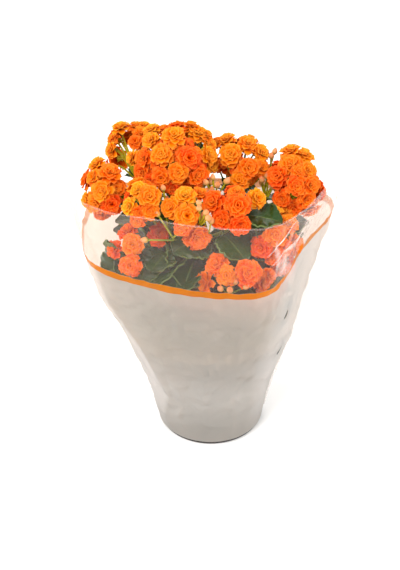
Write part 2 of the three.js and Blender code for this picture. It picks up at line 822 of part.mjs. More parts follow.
// What a head hangs on: its stalk from the stem, and the pedicels under its core
function makeStalk(shoot, { head, florets, underside }, share) {
  const { hub, axis, side, front } = headFrame(head);
  const umbel = umbelPoint(head, underside.level);
  const start = stemPoint(shoot, share);
  const bend = umbel.clone().addScaledVector(axis, -9);
  const middle = stalkMiddle(shoot, head, umbel, share);
  const line = [start, middle, bend, umbel];
  const solids = [toSolid(taperedTube(line, stem.stalkRadius * 1.2, stem.stalkRadius, 4, 5))];
  const rays = Math.min(stem.pedicels, florets.length);
  const thin = stem.pedicelRadius;
  for (let i = 0; i < rays; i += 1) {
    const from = umbel.clone().addScaledVector(axis, -1 - 2 * i);
    const angle = (2 * Math.PI * i) / rays;
    const end = hub.clone()
      .addScaledVector(axis, underside.level - 2 * gap)
      .addScaledVector(front, 0.75 * underside.radius * Math.cos(angle))
      .addScaledVector(side, 0.75 * underside.radius * Math.sin(angle));
    solids.push(toSolid(taperedTube([from, end], thin * 1.2, thin, 3, 1)));
  }
  return solids;
}

function stalkMiddle(shoot, head, umbel, share) {
  return stemPoint(shoot, share).lerp(umbel, 0.45).addScaledVector(headAxis(head), -4);
}

// A small spray of buds on a thin stalk of its own
function makeBudSpray(shoot, { middle, count }, { head: bearer, underside }, share, seed, blooms) {
  const random = seededRandom(seed);
  const centre = new THREE.Vector3(...middle);
  const fork = centre.clone().add(new THREE.Vector3(0, 0, -bud.forkDrop));
  const start = stalkMiddle(shoot, bearer, umbelPoint(bearer, underside.level), share);
  const knee = start.clone().lerp(fork, 0.6).add(new THREE.Vector3(0, 0, -4));
  const thin = 0.7 * stem.pedicelRadius;
  const solids = [toSolid(taperedTube([start, knee, fork], bud.stalkRadius, bud.stalkRadius, 4, 3))];
  const taken = [...blooms];
  const last = fork.clone().sub(knee).normalize();
  for (let tries = 0, made = 0; tries < 60 && made < count; tries += 1) {
    const place = centre.clone().add(new THREE.Vector3(
      bud.spread * (2 * random() - 1),
      bud.spread * (2 * random() - 1),
      0.6 * bud.spread * (2 * random() - 1),
    ));
    const root = fork.clone().addScaledVector(last, -0.6 - 2 * made);
    const facing = place.clone().sub(root).normalize();
    const head = place.clone().addScaledVector(facing, 0.8);
    const room = toSolid(makeBud(place, facing, 0.5));
    const twig = toSolid(taperedTube([root, head], thin, thin, 3, 1));
    if (!crosses(room, taken) && !crosses(twig, blooms) && insideFilm(place, 4)) {
      solids.push(toSolid(makeBud(place, facing, 0)), twig);
      taken.push(room);
      made += 1;
    }
  }
  return solids;
}

// A leaf gives way to what is in its path: it is bent up and kept shorter beside the film,
// and bent down under a flower.
function growLeaf(root, heading, shape, others) {
  const grown = { ...shape };
  for (let tries = 0; tries < 30; tries += 1) {
    const blade = makeLeaf(root, heading, grown, 0);
    const points = blade.getAttribute('position');
    let free = true;
    for (let i = 0; i < points.count && free; i += 1) {
      free = insideFilm(new THREE.Vector3().fromBufferAttribute(points, i), leaf.clearance);
    }
    if (free && !crosses(toSolid(makeLeaf(root, heading, grown, 0.6)), others)) {
      return toSolid(blade);
    }
    grown.pitch += radians(free ? -1.5 : 1.5);
    grown.length *= 0.97;
    grown.width *= 0.98;
  }
  return null;
}

function makeLeaves(shoot, number, others) {
  const random = seededRandom(300 + 17 * number);
  const blades = [];
  for (let i = 0; i < leaf.count; i += 1) {
    const middling = Math.sin(Math.PI * (0.2 + (0.6 * i) / (leaf.count - 1)));
    const height = leaf.firstHeight + leaf.rise * i;
    const root = stemPoint(shoot, (height - stem.foot) / (stem.top - stem.foot));
    const sway = (i % 2 ? 1 : -1) * (leaf.fan + leaf.fanStep * i) + 6 * (random() - 0.5);
    const blade = growLeaf(root, radians(shoot.heading + sway), {
      length: leaf.shortest + leaf.longer * middling,
      width: leaf.narrowest + leaf.wider * middling,
      pitch: radians(leaf.lowestPitch - leaf.pitchStep * i),
    }, others);
    if (blade) {
      blades.push(blade);
    }
  }
  return blades;
}

// The whole plant
const group = new THREE.Group();
group.add(namedMesh('pot', makePot(), colours.potPlastic, 0.55));
group.add(namedMesh('soil', makeSoil(), colours.soil, 0.95));
group.add(namedMesh('sleeve', makeFilm(), colours.film, 0.35));

const placed = heads.map((head, number) => {
  const florets = placeFlorets(head, 1001 + 97 * number);
  const basePoints = florets.flatMap((one) => floretRings(one).base);
  return { head, florets, underside: headUnderside(head, basePoints) };
});

const blooms = placed.map(({ head, florets }, number) => {
  const geometry = makeHead(head, florets);
  const colour = colours.petals[number % colours.petals.length];
  group.add(namedMesh(head.name, geometry, colour, 0.6));
  return toSolid(geometry);
});

// Stems, stalks and buds first, then the leaves in the room that is left
const frames = shoots.map((shoot) => {
  const line = [0, 0.25, 0.5, 0.75, 1].map((share) => stemPoint(shoot, share));
  const solids = [toSolid(taperedTube(line, stem.radius, stem.taper * stem.radius, stem.sides, 4))];
  const bearing = placed.filter(({ head }) => head.shoot === shoot.name);
  bearing.forEach((one, i) => {
    const share = stem.firstStalk + (stem.stalkSpan * i) / bearing.length;
    solids.push(...makeStalk(shoot, one, share));
    budSprays.forEach((spray, k) => {
      if (spray.from === one.head.name) {
        solids.push(...makeBudSpray(shoot, spray, one, share, 701 + 13 * k, blooms));
      }
    });
  });
  return joinAll(solids);
});

const greens = [...frames];
shoots.forEach((shoot, number) => {
  const others = greens.filter((_, i) => i !== number);
  const blades = makeLeaves(shoot, number, [...blooms, ...others]);
  greens[number] = wholeBody(joinAll([frames[number], ...blades]));
  group.add(namedMesh(`shoot_${shoot.name}`, toGeometry(greens[number]), colours.leaf, 0.5));
});

export default group;
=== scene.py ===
import functools
import math

import bpy
from mathutils import Matrix, Vector, noise


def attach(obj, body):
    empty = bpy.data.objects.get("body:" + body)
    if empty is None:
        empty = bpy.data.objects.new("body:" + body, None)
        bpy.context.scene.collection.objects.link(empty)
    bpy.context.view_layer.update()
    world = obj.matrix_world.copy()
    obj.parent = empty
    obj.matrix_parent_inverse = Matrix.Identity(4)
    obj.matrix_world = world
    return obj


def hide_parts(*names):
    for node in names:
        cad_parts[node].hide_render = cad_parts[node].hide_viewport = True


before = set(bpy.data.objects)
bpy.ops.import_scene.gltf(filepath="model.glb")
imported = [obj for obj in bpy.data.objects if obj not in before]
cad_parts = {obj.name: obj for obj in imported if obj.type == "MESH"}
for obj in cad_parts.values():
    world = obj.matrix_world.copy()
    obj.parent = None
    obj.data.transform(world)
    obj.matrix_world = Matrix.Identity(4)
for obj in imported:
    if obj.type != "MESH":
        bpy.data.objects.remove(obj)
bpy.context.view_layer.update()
mm = 0.001
goldenTurn = 2.39996
print("frame loaded:", len(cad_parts), "nodes")


# Materials
def linear(hexColour):
    channels = []
    for i in (1, 3, 5):
        c = int(hexColour[i:i + 2], 16) / 255
        channels.append(c / 12.92 if c <= 0.04045 else ((c + 0.055) / 1.055) ** 2.4)
    return (*channels, 1.0)


def newMaterial(name):
    material = bpy.data.materials.new(name)
    material.use_nodes = True
    material.node_tree.nodes.clear()
    return material


# a value that is a node or a socket is linked, any other is set
def addNode(skin, kind, settings=None):
    tree = skin.node_tree
    node = tree.nodes.new("ShaderNode" + kind)
    for name, value in (settings or {}).items():
        if isinstance(value, bpy.types.Node):
            value = value.outputs[0]
        if isinstance(value, bpy.types.NodeSocket):
            tree.links.new(value, node.inputs[name])
        elif isinstance(name, int) or name in node.inputs:
            node.inputs[name].default_value = value
        else:
            setattr(node, name, value)
    return node


def addRamp(skin, source, stops):
    node = addNode(skin, "ValToRGB", {"Fac": source})
    elements = node.color_ramp.elements
    while len(elements) < len(stops):
        elements.new(0.5)
    for element, (position, colour) in zip(elements, stops):
        element.position = position
        element.color = linear(colour)
    return node


def addMath(skin, operation, *values, **more):
    return addNode(skin, "Math", {"operation": operation, **dict(enumerate(values)), **more})


def addNoise(skin, place, scale, detail=2, **more):
    return addNode(skin, "TexNoise", {"Vector": place, "Scale": scale, "Detail": detail, **more})


def addRange(skin, source, start, end, low, high):
    return addNode(skin, "MapRange", {
        0: source, "From Min": start, "From Max": end, "To Min": low, "To Max": high})


def addBlend(skin, share, *colours):
    low, high = (linear(colour) if isinstance(colour, str) else colour for colour in colours)
    return addNode(skin, "Mix", {"data_type": "RGBA", 0: share, 6: low, 7: high}).outputs[2]


def addMixed(skin, share, first, second):
    return addNode(skin, "MixShader", {0: share, 1: first, 2: second})


def addBump(skin, height, strength, distance):
    return addNode(skin, "Bump", {"Height": height, "Strength": strength, "Distance": distance * mm})


def addSurface(skin, colour, roughness, **more):
    settings = {"Base Color": colour, "Roughness": roughness}
    names = {"normal": "Normal", "specular": "Specular IOR Level", "ior": "IOR"}
    return addNode(skin, "BsdfPrincipled", {**settings, **{names[key]: value for key, value in more.items()}})


def objectPlace(skin):
    return addNode(skin, "TexCoord").outputs["Object"]


def tintParts(skin, name):
    tint = addNode(skin, "Attribute", {"attribute_name": name})
    return [*addNode(skin, "SeparateColor", {"Color": tint}).outputs, tint.outputs["Alpha"]]


def finished(skin, surface):
    addNode(skin, "OutputMaterial", {"Surface": surface})
    return skin


# Meshes
def makeRandom(seed):
    state = [seed]

    def draw():
        state[0] = (state[0] * 16807) % 2147483647
        return state[0] / 2147483647
    return draw


def deselectAll():
    if bpy.context.object and bpy.context.object.mode != "OBJECT":
        bpy.ops.object.mode_set(mode="OBJECT")
    bpy.ops.object.select_all(action="DESELECT")


def activate(piece):
    deselectAll()
    piece.select_set(True)
    bpy.context.view_layer.objects.active = piece


def applyModifier(piece, kind, **settings):
    activate(piece)
    bpy.ops.object.modifier_add(type=kind)
    modifier = piece.modifiers[-1]
    for name, value in settings.items():
        setattr(modifier, name, value)
    bpy.ops.object.modifier_apply(modifier=modifier.name)


def thicken(piece, thickness):
    applyModifier(piece, "SOLIDIFY", thickness=thickness * mm, offset=0)


def selectPoints(piece, test):
    bpy.ops.object.mode_set(mode="OBJECT")
    for polygon in piece.data.polygons:
        polygon.select = False
    for edge in piece.data.edges:
        edge.select = False
    for vertex in piece.data.vertices:
        vertex.select = test(vertex.co)
    bpy.ops.object.mode_set(mode="EDIT")
    bpy.ops.mesh.select_mode(type="VERT")


def mergePoints(piece, distance, turnOut=True):
    activate(piece)
    bpy.ops.object.mode_set(mode="EDIT")
    bpy.ops.mesh.select_all(action="SELECT")
    bpy.ops.mesh.remove_doubles(threshold=distance * mm)
    if turnOut:
        bpy.ops.mesh.normals_make_consistent(inside=False)
    bpy.ops.object.mode_set(mode="OBJECT")


def tintPoints(piece, name, colourOf):
    tint = piece.data.color_attributes.new(name, "FLOAT_COLOR", "POINT")
    for vertex, point in zip(piece.data.vertices, tint.data):
        point.color = colourOf(vertex.co)


def addPiece(name, data):
    piece = bpy.data.objects.new(name, data)
    bpy.context.collection.objects.link(piece)
    return piece


def makeGrid(columns, rows):
    deselectAll()
    bpy.ops.mesh.primitive_grid_add(x_subdivisions=columns, y_subdivisions=rows, size=1)
    return bpy.context.object


def copyOf(source):
    copy = source.copy()
    copy.data = source.data.copy()
    bpy.context.collection.objects.link(copy)
    return copy


def placedCopy(template, matrix):
    copy = copyOf(template)
    copy.data.transform(matrix)
    return copy


def joinPieces(name, pieces):
    deselectAll()
    for piece in pieces:
        piece.select_set(True)
    bpy.context.view_layer.objects.active = pieces[0]
    bpy.ops.object.join()
    pieces[0].name = name
    return pieces[0]


def removeAll(templates):
    for template in templates:
        bpy.data.objects.remove(template)


def clamp(value, low=0.0, high=1.0):
    return max(low, min(high, value))


# a finished piece: smoothed, with its materials and its place in the frame
def dress(piece, degrees, slot, node, *materials):
    activate(piece)
    bpy.ops.object.shade_smooth_by_angle(angle=math.radians(degrees))
    piece.data.materials.clear()
    for material in materials:
        piece.data.materials.append(material)
    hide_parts(node)
    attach(piece, "root")


def titled(words):
    return "".join(word.capitalize() for word in words.split("_"))


# Camera, floor and light
camera = {"target": (-9, 0, 134), "distance": 1330, "elevation": 36, "focalPixels": 1640, "pixels": 570, "sensor": 36}
elevation = math.radians(camera["elevation"])
viewSide = Vector((0, -math.cos(elevation), math.sin(elevation)))


def placeCamera():
    deselectAll()
    bpy.ops.object.camera_add(location=(Vector(camera["target"]) + viewSide * camera["distance"]) * mm)
    view = bpy.context.object
    view.name = "photoCamera"
    view.rotation_euler = (-viewSide).to_track_quat("-Z", "Y").to_euler()
    view.data.sensor_width = camera["sensor"]
    view.data.lens = camera["focalPixels"] * camera["sensor"] / camera["pixels"]
    bpy.context.scene.camera = view


lights = {
    "world": 0.66,
    "key": {"place": (-400, -900, 1500), "size": 450, "power": 17},
    "right": {"place": (1100, -300, 700), "size": 900, "power": 11},
    "left": {"place": (-1100, -100, 700), "size": 900, "power": 11},
    "back": {"place": (0, 1200, 1000), "size": 1000, "power": 8},
}


def placeLights():
    world = bpy.data.worlds.new("softStudio")
    world.use_nodes = True
    sky = world.node_tree.nodes["Background"]
    sky.inputs["Color"].default_value = (1, 1, 1, 1)
    sky.inputs["Strength"].default_value = lights["world"]
    bpy.context.scene.world = world
    aim = Vector(camera["target"])
    for name in ("key", "right", "left", "back"):
        settings = lights[name]
        deselectAll()
        place = Vector(settings["place"])
        bpy.ops.object.light_add(type="AREA", location=place * mm)
        lamp = bpy.context.object
        lamp.name = name + "Light"
        lamp.rotation_euler = (aim - place).to_track_quat("-Z", "Y").to_euler()
        lamp.data.size = settings["size"] * mm
        lamp.data.energy = settings["power"]


def makeFloor():
    deselectAll()
    bpy.ops.mesh.primitive_plane_add(size=12)
    floor = bpy.context.object
    floor.name = "floor"
    # Painted board: matte and almost white, so that it gives the eye only a soft shadow
    paint = newMaterial("mattePaintedBoard")
    floor.data.materials.append(finished(paint, addSurface(paint, linear("#F6F5F3"), 0.9, specular=0.2)))


placeCamera()
placeLights()
makeFloor()
bpy.context.scene.view_settings.view_transform = "Standard"
print("camera, light and floor placed")


# The film's shape: each outline runs anticlockwise from the front, 12 points round the sleeve
film = {
    "bottom": 3.5, "top": 250, "bandFrom": 187, "bandTo": 193, "columns": 240, "rows": 120, "thickness": 0.25,
    "cadWall": 0.8, "seamPoint": 9.6, "seamRise": 6, "seamWidth": 0.7, "riseFrom": 200,
}


def circleOutline(radius):
    turns = [math.pi * i / 6 for i in range(12)]
    return [(radius * math.sin(turn), -radius * math.cos(turn)) for turn in turns]


filmOutlines = [
    (0, circleOutline(43.6)),
    (40, [(0, -49), (26, -43), (44, -25), (51, 0), (44, 25), (25, 43),
          (0, 50), (-25, 43), (-44, 25), (-51, -1), (-46, -26), (-26, -43)]),
    (100, [(0, -64), (33, -56), (57, -34), (67, -2), (57, 33), (32, 55),
           (0, 63), (-32, 55), (-58, 34), (-72, -4), (-62, -35), (-34, -57)]),
    (150, [(6, -80), (42, -74), (65, -38), (83, 8), (74, 40), (40, 56),
           (0, 62), (-42, 58), (-74, 40), (-88, -2), (-84, -42), (-42, -72)]),
    (190, [(6, -92), (46, -85), (71, -28), (97, 24), (86, 50), (46, 64),
           (0, 68), (-50, 66), (-90, 48), (-101, 4), (-93, -49), (-44, -79)]),
    (222, [(12, -93), (49, -85), (75, -37), (101, 14), (94, 54), (52, 69),
           (0, 71), (-56, 71), (-100, 54), (-110, 6), (-98, -52), (-44, -79)]),
    (250, [(18, -91), (52, -82), (79, -47), (102, 4), (98, 56), (54, 72),
           (0, 73), (-60, 74), (-106, 60), (-116, 4), (-100, -56), (-42, -78)]),
]


@functools.cache
def outlineAt(z):
    last = len(filmOutlines) - 1
    k = 0
    while k < last - 1 and filmOutlines[k + 1][0] <= z:
        k += 1
    lowZ, low = filmOutlines[k]
    highZ, high = filmOutlines[k + 1]
    step = highZ - lowZ
    t = (z - lowZ) / step

    def slope(i, point, axis):
        beforeZ, before = filmOutlines[max(0, i - 1)]
        afterZ, after = filmOutlines[min(last, i + 1)]
        return (after[point][axis] - before[point][axis]) / (afterZ - beforeZ) * step
    return [[
        (2 * t ** 3 - 3 * t ** 2 + 1) * low[p][axis] + (t ** 3 - 2 * t ** 2 + t) * slope(k, p, axis)
        + (3 * t ** 2 - 2 * t ** 3) * high[p][axis] + (t ** 3 - t ** 2) * slope(k + 1, p, axis)
        for axis in (0, 1)] for p in range(12)]


def roundOutline(points, around, z):
    corner = math.floor(around)
    t = around - corner
    a, b, c, d = (points[(corner + k) % 12] for k in (-1, 0, 1, 2))
    place = [0.5 * (2 * b[i] + (c[i] - a[i]) * t + (2 * a[i] - 5 * b[i] + 4 * c[i] - d[i]) * t ** 2
                    + (3 * b[i] - a[i] - 3 * c[i] + d[i]) * t ** 3) for i in (0, 1)]
    return Vector((*place, z))


def filmPoint(around, z):
    return roundOutline(outlineAt(z), around, z)


def perTurn(around, z):
    return (filmPoint(around + 0.5, z) - filmPoint(around - 0.5, z)).length


def filmOutward(around, z):
    points = outlineAt(z)
    along = roundOutline(points, around + 0.02, z) - roundOutline(points, around - 0.02, z)
    along.normalize()
    return Vector((along.y, -along.x, 0))


# Petals, florets and heads
# each head: name, shoot, hub, radius, heading and lean in degrees, florets per ring, turn of its rings
heads = [dict(zip(("name", "shoot", "hub", "radius", "towards", "lean", "rings", "turn"), row)) for row in (
    ("crown", "back_left", (-28, 3, 247), 27, 0, 18, (1, 6, 10), 0),
    ("back_top_left", "back_left", (-62, 32, 237), 20, 250, 15, (1, 5, 3), -90),
    ("left", "front_left", (-76, -6, 230), 20, 310, 34, (1, 5, 3), 0),
    ("front_left", "front_left", (-50, -39, 237), 16, 335, 34, (1, 4), -80),
    ("front", "front_left", (-20, -46, 232), 17, 0, 36, (1, 4), 80),
    ("front_right", "front_right", (17, -39, 229), 20, 8, 32, (1, 6), 0),
    ("right_top", "back_right", (23, 12, 238), 21, 10, 16, (1, 5, 3), 0),
    ("right", "back_right", (66, -5, 233), 20, 45, 26, (1, 5, 4), 0),
    ("right_low", "front_right", (45, -35, 205), 19, 22, 44, (1, 5), 0),
    ("corner_low", "front_right", (18, -56, 186), 21, 8, 42, (1, 5), 0),
    ("left_low", "front_left", (-57, -46, 195), 18, 330, 44, (1, 5), 0),
    ("back_left", "back_left", (-32, 43, 212), 21, 190, 26, (1, 5, 2), 0),
    ("back", "back_right", (15, 43, 206), 20, 175, 20, (1, 5), 0),
    ("back_right", "back_right", (60, 35, 202), 20, 130, 26, (1, 5), 0))]

floret = {
    "spacing": 18, "tipRadius": 9.5, "smallest": 0.94, "largest": 1.06, "seenScale": 1.09, "apart": 11,
    "tubeLength": 6.5, "variants": 6, "closedVariants": 4, "opening": 7, "turnJitter": 8, "tiltJitter": 12,
    "rollJitter": 14, "petalSmallest": 0.86, "petalRange": 0.24, "widestGap": 2.1, "shareOfGap": 0.49,
}

# Florets in full view, by head, picked on the photograph: pixel across and down, radius in pixels,
# tone from red (0) to golden (1), and how far the floret faces right and up
pickedFlorets = {
    "back_top_left": [
        (121, 129, 9.5, 0.95, -0.1, 0.85), (113.5, 140, 7.5, 0.5, -0.75, 0.4),
        (112, 150.5, 8, 0.75, -0.9, -0.05), (136, 128, 8.5, 0.55, 0.05, 0.8),
        (144.5, 127.5, 8, 0.85, 0.2, 0.85), (135.5, 142, 7.5, 0.3, -0.2, 0.2),
        (141, 134, 8, 0.5, 0.1, 0.45)],
    "crown": [
        (152, 131, 8.5, 0.95, -0.1, 0.7), (151.5, 141, 9, 0.8, -0.25, 0.3),
        (133.5, 158, 8.5, 0.9, -0.75, 0.05), (144.5, 158, 9.5, 0.25, -0.35, 0.1),
        (143.5, 172, 9.5, 0.25, -0.3, -0.1), (162, 155, 10.5, 0.6, -0.1, 0.15),
        (161.5, 177.5, 10, 0.3, -0.1, -0.1), (151, 181, 8, 0.12, -0.2, -0.3),
        (174, 137, 11.5, 0.68, 0, 0.45), (164, 131, 8, 0.35, -0.1, 0.7), (178, 127.5, 9, 0.3, 0, 0.85),
        (191, 128, 9, 0.6, 0.1, 0.85), (197.5, 134.5, 10, 0.85, 0.15, 0.55), (206, 136, 8, 0.6, 0.4, 0.6),
        (188.5, 158.5, 12.8, 0.1, 0, 0.1), (178, 173, 10.2, 0.55, 0, 0), (197, 175, 11.3, 0.22, 0.05, -0.1),
        (208, 144.5, 8.5, 0.8, 0.5, 0.3), (208.5, 156, 9.2, 0.75, 0.35, 0.05),
        (211, 165, 8, 0.7, 0.3, -0.3), (173, 187.5, 8, 0.08, -0.1, -0.5)],
    "right_top": [
        (227, 141.5, 9.5, 0.8, -0.1, 0.6), (230.5, 155, 11, 0.65, -0.05, 0.1),
        (247.5, 145.5, 10, 0.65, 0.15, 0.55), (260.5, 153.5, 9.5, 0.75, 0.45, 0.3),
        (249, 168, 10.3, 0.4, 0, 0), (261, 168, 9, 0.5, 0.3, 0), (239, 180, 9.5, 0.6, 0, 0.4),
        (217, 143, 6.5, 0.5, -0.3, 0.4)],
    "right": [
        (291, 153, 10.5, 0.7, -0.1, 0.65), (304, 156.5, 9.2, 0.75, 0.3, 0.5),
        (290.5, 165, 11, 0.5, -0.1, 0.2), (278, 176.5, 11, 0.12, -0.2, 0), (296.5, 185.5, 10.3, 0.2, 0, 0),
        (307.5, 171.5, 9.5, 0.5, 0.5, 0.15), (310, 185.5, 9.5, 0.35, 0.6, 0),
        (305.5, 199, 9.7, 0.3, 0.5, -0.2), (282.5, 199, 9, 0.25, -0.1, -0.05),
        (293, 207.5, 9.2, 0.25, 0.05, -0.2), (299, 172, 7.5, 0.4, 0.1, 0.15)],
    "front_right": [
        (214, 203, 12, 0.2, -0.1, 0.1), (238, 206, 12.8, 0.18, 0.05, 0.05),
        (221.5, 220, 9.6, 0.12, 0, -0.1), (240.5, 225, 10.6, 0.1, 0.1, -0.3),
        (256, 199, 10.5, 0.75, 0.35, 0.1), (236.5, 193.5, 8.5, 0.45, 0, 0.5)],
    "front": [
        (185, 197, 10.5, 0.88, 0, 0.3), (199.5, 194, 7.5, 0.5, 0.2, 0.3), (187, 216, 12.5, 0.5, 0, 0.05),
        (171, 207.5, 10.5, 0.55, -0.05, 0.05), (197, 237, 12.8, 0.3, 0.05, -0.1),
        (182, 228, 8.5, 0.3, -0.2, -0.3)],
    "front_left": [
        (149, 197, 11.3, 0.6, 0, 0.1), (139, 190, 8.7, 0.88, -0.35, 0.35), (130.5, 206, 9, 0.92, -0.6, 0),
        (150.5, 210.5, 9.3, 0.5, 0, -0.1), (139, 212.5, 7.7, 0.25, -0.2, -0.3),
        (138, 220, 8, 0.35, -0.2, -0.4)],
    "left": [
        (97.5, 165.5, 9, 0.8, -0.5, 0.4), (109.5, 173.5, 11, 0.4, 0.15, 0.6),
        (94.5, 178, 9, 0.5, -0.6, 0.05), (103, 191, 10.8, 0.6, -0.15, 0.15), (112, 204, 11.3, 0.1, 0.1, 0),
        (96.5, 204, 9.5, 0.5, -0.35, -0.1), (88.5, 199.5, 8.5, 0.88, -0.7, 0),
        (101.5, 212.5, 8.7, 0.3, -0.1, -0.5)],
    "left_low": [
        (128, 233, 9.5, 0.25, -0.2, 0.3), (132.5, 245, 10.6, 0.62, 0.1, 0), (115, 249, 9, 0.25, -0.45, 0),
        (130.5, 265, 11, 0.4, 0, -0.15), (158, 235, 11, 0.15, 0.3, -0.15)],
    "corner_low": [
        (217, 265, 11.5, 0.45, -0.1, 0.25), (227, 275.5, 10.2, 0.7, -0.05, 0),
        (205, 282, 10.6, 0.55, -0.5, -0.2), (247.5, 273.5, 13.2, 0.4, 0.1, 0.1),
        (262, 282, 9.8, 0.5, 0.35, -0.1), (268.5, 276, 8.5, 0.5, 0.5, 0.1)],
    "right_low": [
        (261.5, 247.5, 11, 0.12, -0.2, -0.1), (275.5, 236, 11.5, 0.45, 0, 0.15),
        (288, 224.5, 10, 0.55, 0.1, 0.4), (273.5, 257.5, 8.5, 0.35, 0, -0.2), (283.5, 248, 9, 0.3, 0, 0),
        (300, 244, 10, 0.55, 0.4, 0), (289, 263, 10, 0.35, 0.3, -0.2), (273, 214, 10.3, 0.9, -0.1, 0.5),
        (287, 215, 9, 0.6, 0.1, 0.6), (281, 270, 8, 0.3, 0, -0.3)],
}
# three of them are moved back inside the film, by head and number, in mm
movedFlorets = {
    ("right_low", 5): (-4.2, 6.2, -4.9), ("right_low", 6): (-3.3, 3.7, -2.3), ("right_low", 9): (-1.7, 3.5, -2.1),
}
photoMiddle = (200, 285)
photoRight = (1, 0, 0)
photoUp = (0, math.sin(elevation), math.cos(elevation))
photoNear = (0, -math.cos(elevation), math.sin(elevation))
facingShare = 0.65  # the rest of a floret's facing is that of the dome under it


# plain numbers, because a Vector is too coarse for a ray of this length
def mixed(*parts):
    return [sum(factor * axis[k] for factor, axis in parts) for k in range(3)]


def dotted(one, two):
    return sum(a * b for a, b in zip(one, two))


def unit(axis):
    length = math.sqrt(dotted(axis, axis))
    return [value / length for value in axis]


photoEye = mixed((1, camera["target"]), (camera["distance"], photoNear))


# A picked floret sits where the camera's ray through its pixel meets its head's dome: place, facing, size and tone
def seenFloret(head, number, across, down, radius, tone, right, up):
    ray = unit(mixed(((across - photoMiddle[0]) / camera["focalPixels"], photoRight),
                     ((photoMiddle[1] - down) / camera["focalPixels"], photoUp), (-1, photoNear)))
    fromHub = mixed((1, photoEye), (-1, head["hub"]))
    along = dotted(fromHub, ray)
    within = max(0, along ** 2 - dotted(fromHub, fromHub) + head["radius"] ** 2)
    place = mixed((1, photoEye), (-along - math.sqrt(within), ray))
    outward = unit(mixed((1, place), (-1, head["hub"])))
    near = math.sqrt(max(0, 1 - right ** 2 - up ** 2))
    faced = mixed((right, photoRight), (up, photoUp), (near, photoNear))
    facing = unit(mixed((facingShare, faced), (1 - facingShare, outward)))
    depth = dotted(mixed((1, photoEye), (-1, place)), photoNear)
    size = radius * depth / camera["focalPixels"] / floret["tipRadius"]
    place = [round(value, 1) for value in place]
    moved = movedFlorets.get((head["name"], number), (0, 0, 0))
    return ([round(value + shift, 1) for value, shift in zip(place, moved)]
            + [round(value, 2) for value in facing] + [round(size, 2), tone])


seenFlorets = {head["name"]: [seenFloret(head, number, *row) for number, row in enumerate(pickedFlorets[head["name"]])]
               for head in heads if head["name"] in pickedFlorets}

# From the spread outer petals in to the tight middle
petalLayers = [
    {"count": 7, "length": 9.0, "width": 7.0, "tilt": 4, "cup": 0.5, "curl": -1.8, "start": 0.8, "rise": -0.5},
    {"count": 7, "length": 8.6, "width": 6.8, "tilt": 19, "cup": 0.8, "curl": -1.4, "start": 0.7, "rise": -0.1},
    {"count": 6, "length": 8.0, "width": 6.6, "tilt": 35, "cup": 1.0, "curl": -1.0, "start": 0.6, "rise": 0.1},
    {"count": 6, "length": 7.2, "width": 6.0, "tilt": 50, "cup": 1.2, "curl": -0.7, "start": 0.5, "rise": 0.2},
    {"count": 5, "length": 6.4, "width": 5.0, "tilt": 63, "cup": 1.2, "curl": -0.4, "start": 0.3, "rise": 0.3,
     "columns": 2},
    {"count": 4, "length": 5.4, "width": 4.0, "tilt": 76, "cup": 0.9, "curl": 0.0, "start": 0.1, "rise": 0.4,
     "columns": 2},
]

petal = {
    "rows": 4, "columns": 4, "widths": (0.34, 0.8, 1.0, 0.84, 0.36), "round": 0.1, "point": 0.07, "thickness": 0.28,
}


def makePetal(number, layer):
    rows, columns = petal["rows"], layer.get("columns", petal["columns"])
    length, widths = layer["length"], petal["widths"]
    blade = makeGrid(columns, rows)
    blade.name = f"petalOfLayer{number}"
    bpy.ops.object.mode_set(mode="EDIT")
    bpy.ops.transform.translate(value=(0, 0.5, 0))
    for side, lift in ((0.5, 1.0), (0.25, 0.3))[:columns // 2]:  # the sides rise into a shallow cup
        selectPoints(blade, lambda co: abs(abs(co.x) - side) < 0.01)
        bpy.ops.transform.translate(value=(0, 0, lift * layer["cup"] * mm))
    for side, shift in ((0.5, -petal["round"]), (0, petal["point"])):  # a rounded end with a small point
        selectPoints(blade, lambda co: abs(abs(co.x) - side) < 0.01 and co.y > 0.99)
        bpy.ops.transform.translate(value=(0, shift, 0))
    bpy.ops.mesh.select_all(action="SELECT")
    bpy.ops.transform.resize(value=(layer["width"] * mm, length * mm, 1), center_override=(0, 0, 0))
    for row, share in enumerate(widths):
        along = row / rows
        reach = along * length * mm
        selectPoints(blade, lambda co: abs(co.y - reach) < 0.08 * length * mm)
        bpy.ops.transform.resize(value=(share, 1, 1), center_override=(0, reach, 0))
        bend = layer["curl"] * along ** 3 + 0.06 * length * math.sin(math.pi * along)
        bpy.ops.transform.translate(value=(0, 0, bend * mm))
    bpy.ops.object.mode_set(mode="OBJECT")
    thicken(blade, petal["thickness"])

    def colourOf(co):
        along = co.y / (length * mm)
        row = clamp(math.floor(along * rows), 0, rows - 1)
        share = along * rows - row
        wide = widths[row] * (1 - share) + widths[row + 1] * share
        return along, 0.5, number / (len(petalLayers) - 1), min(1, abs(co.x) / (0.5 * layer["width"] * wide * mm))
    tintPoints(blade, "petalTint", colourOf)
    return blade


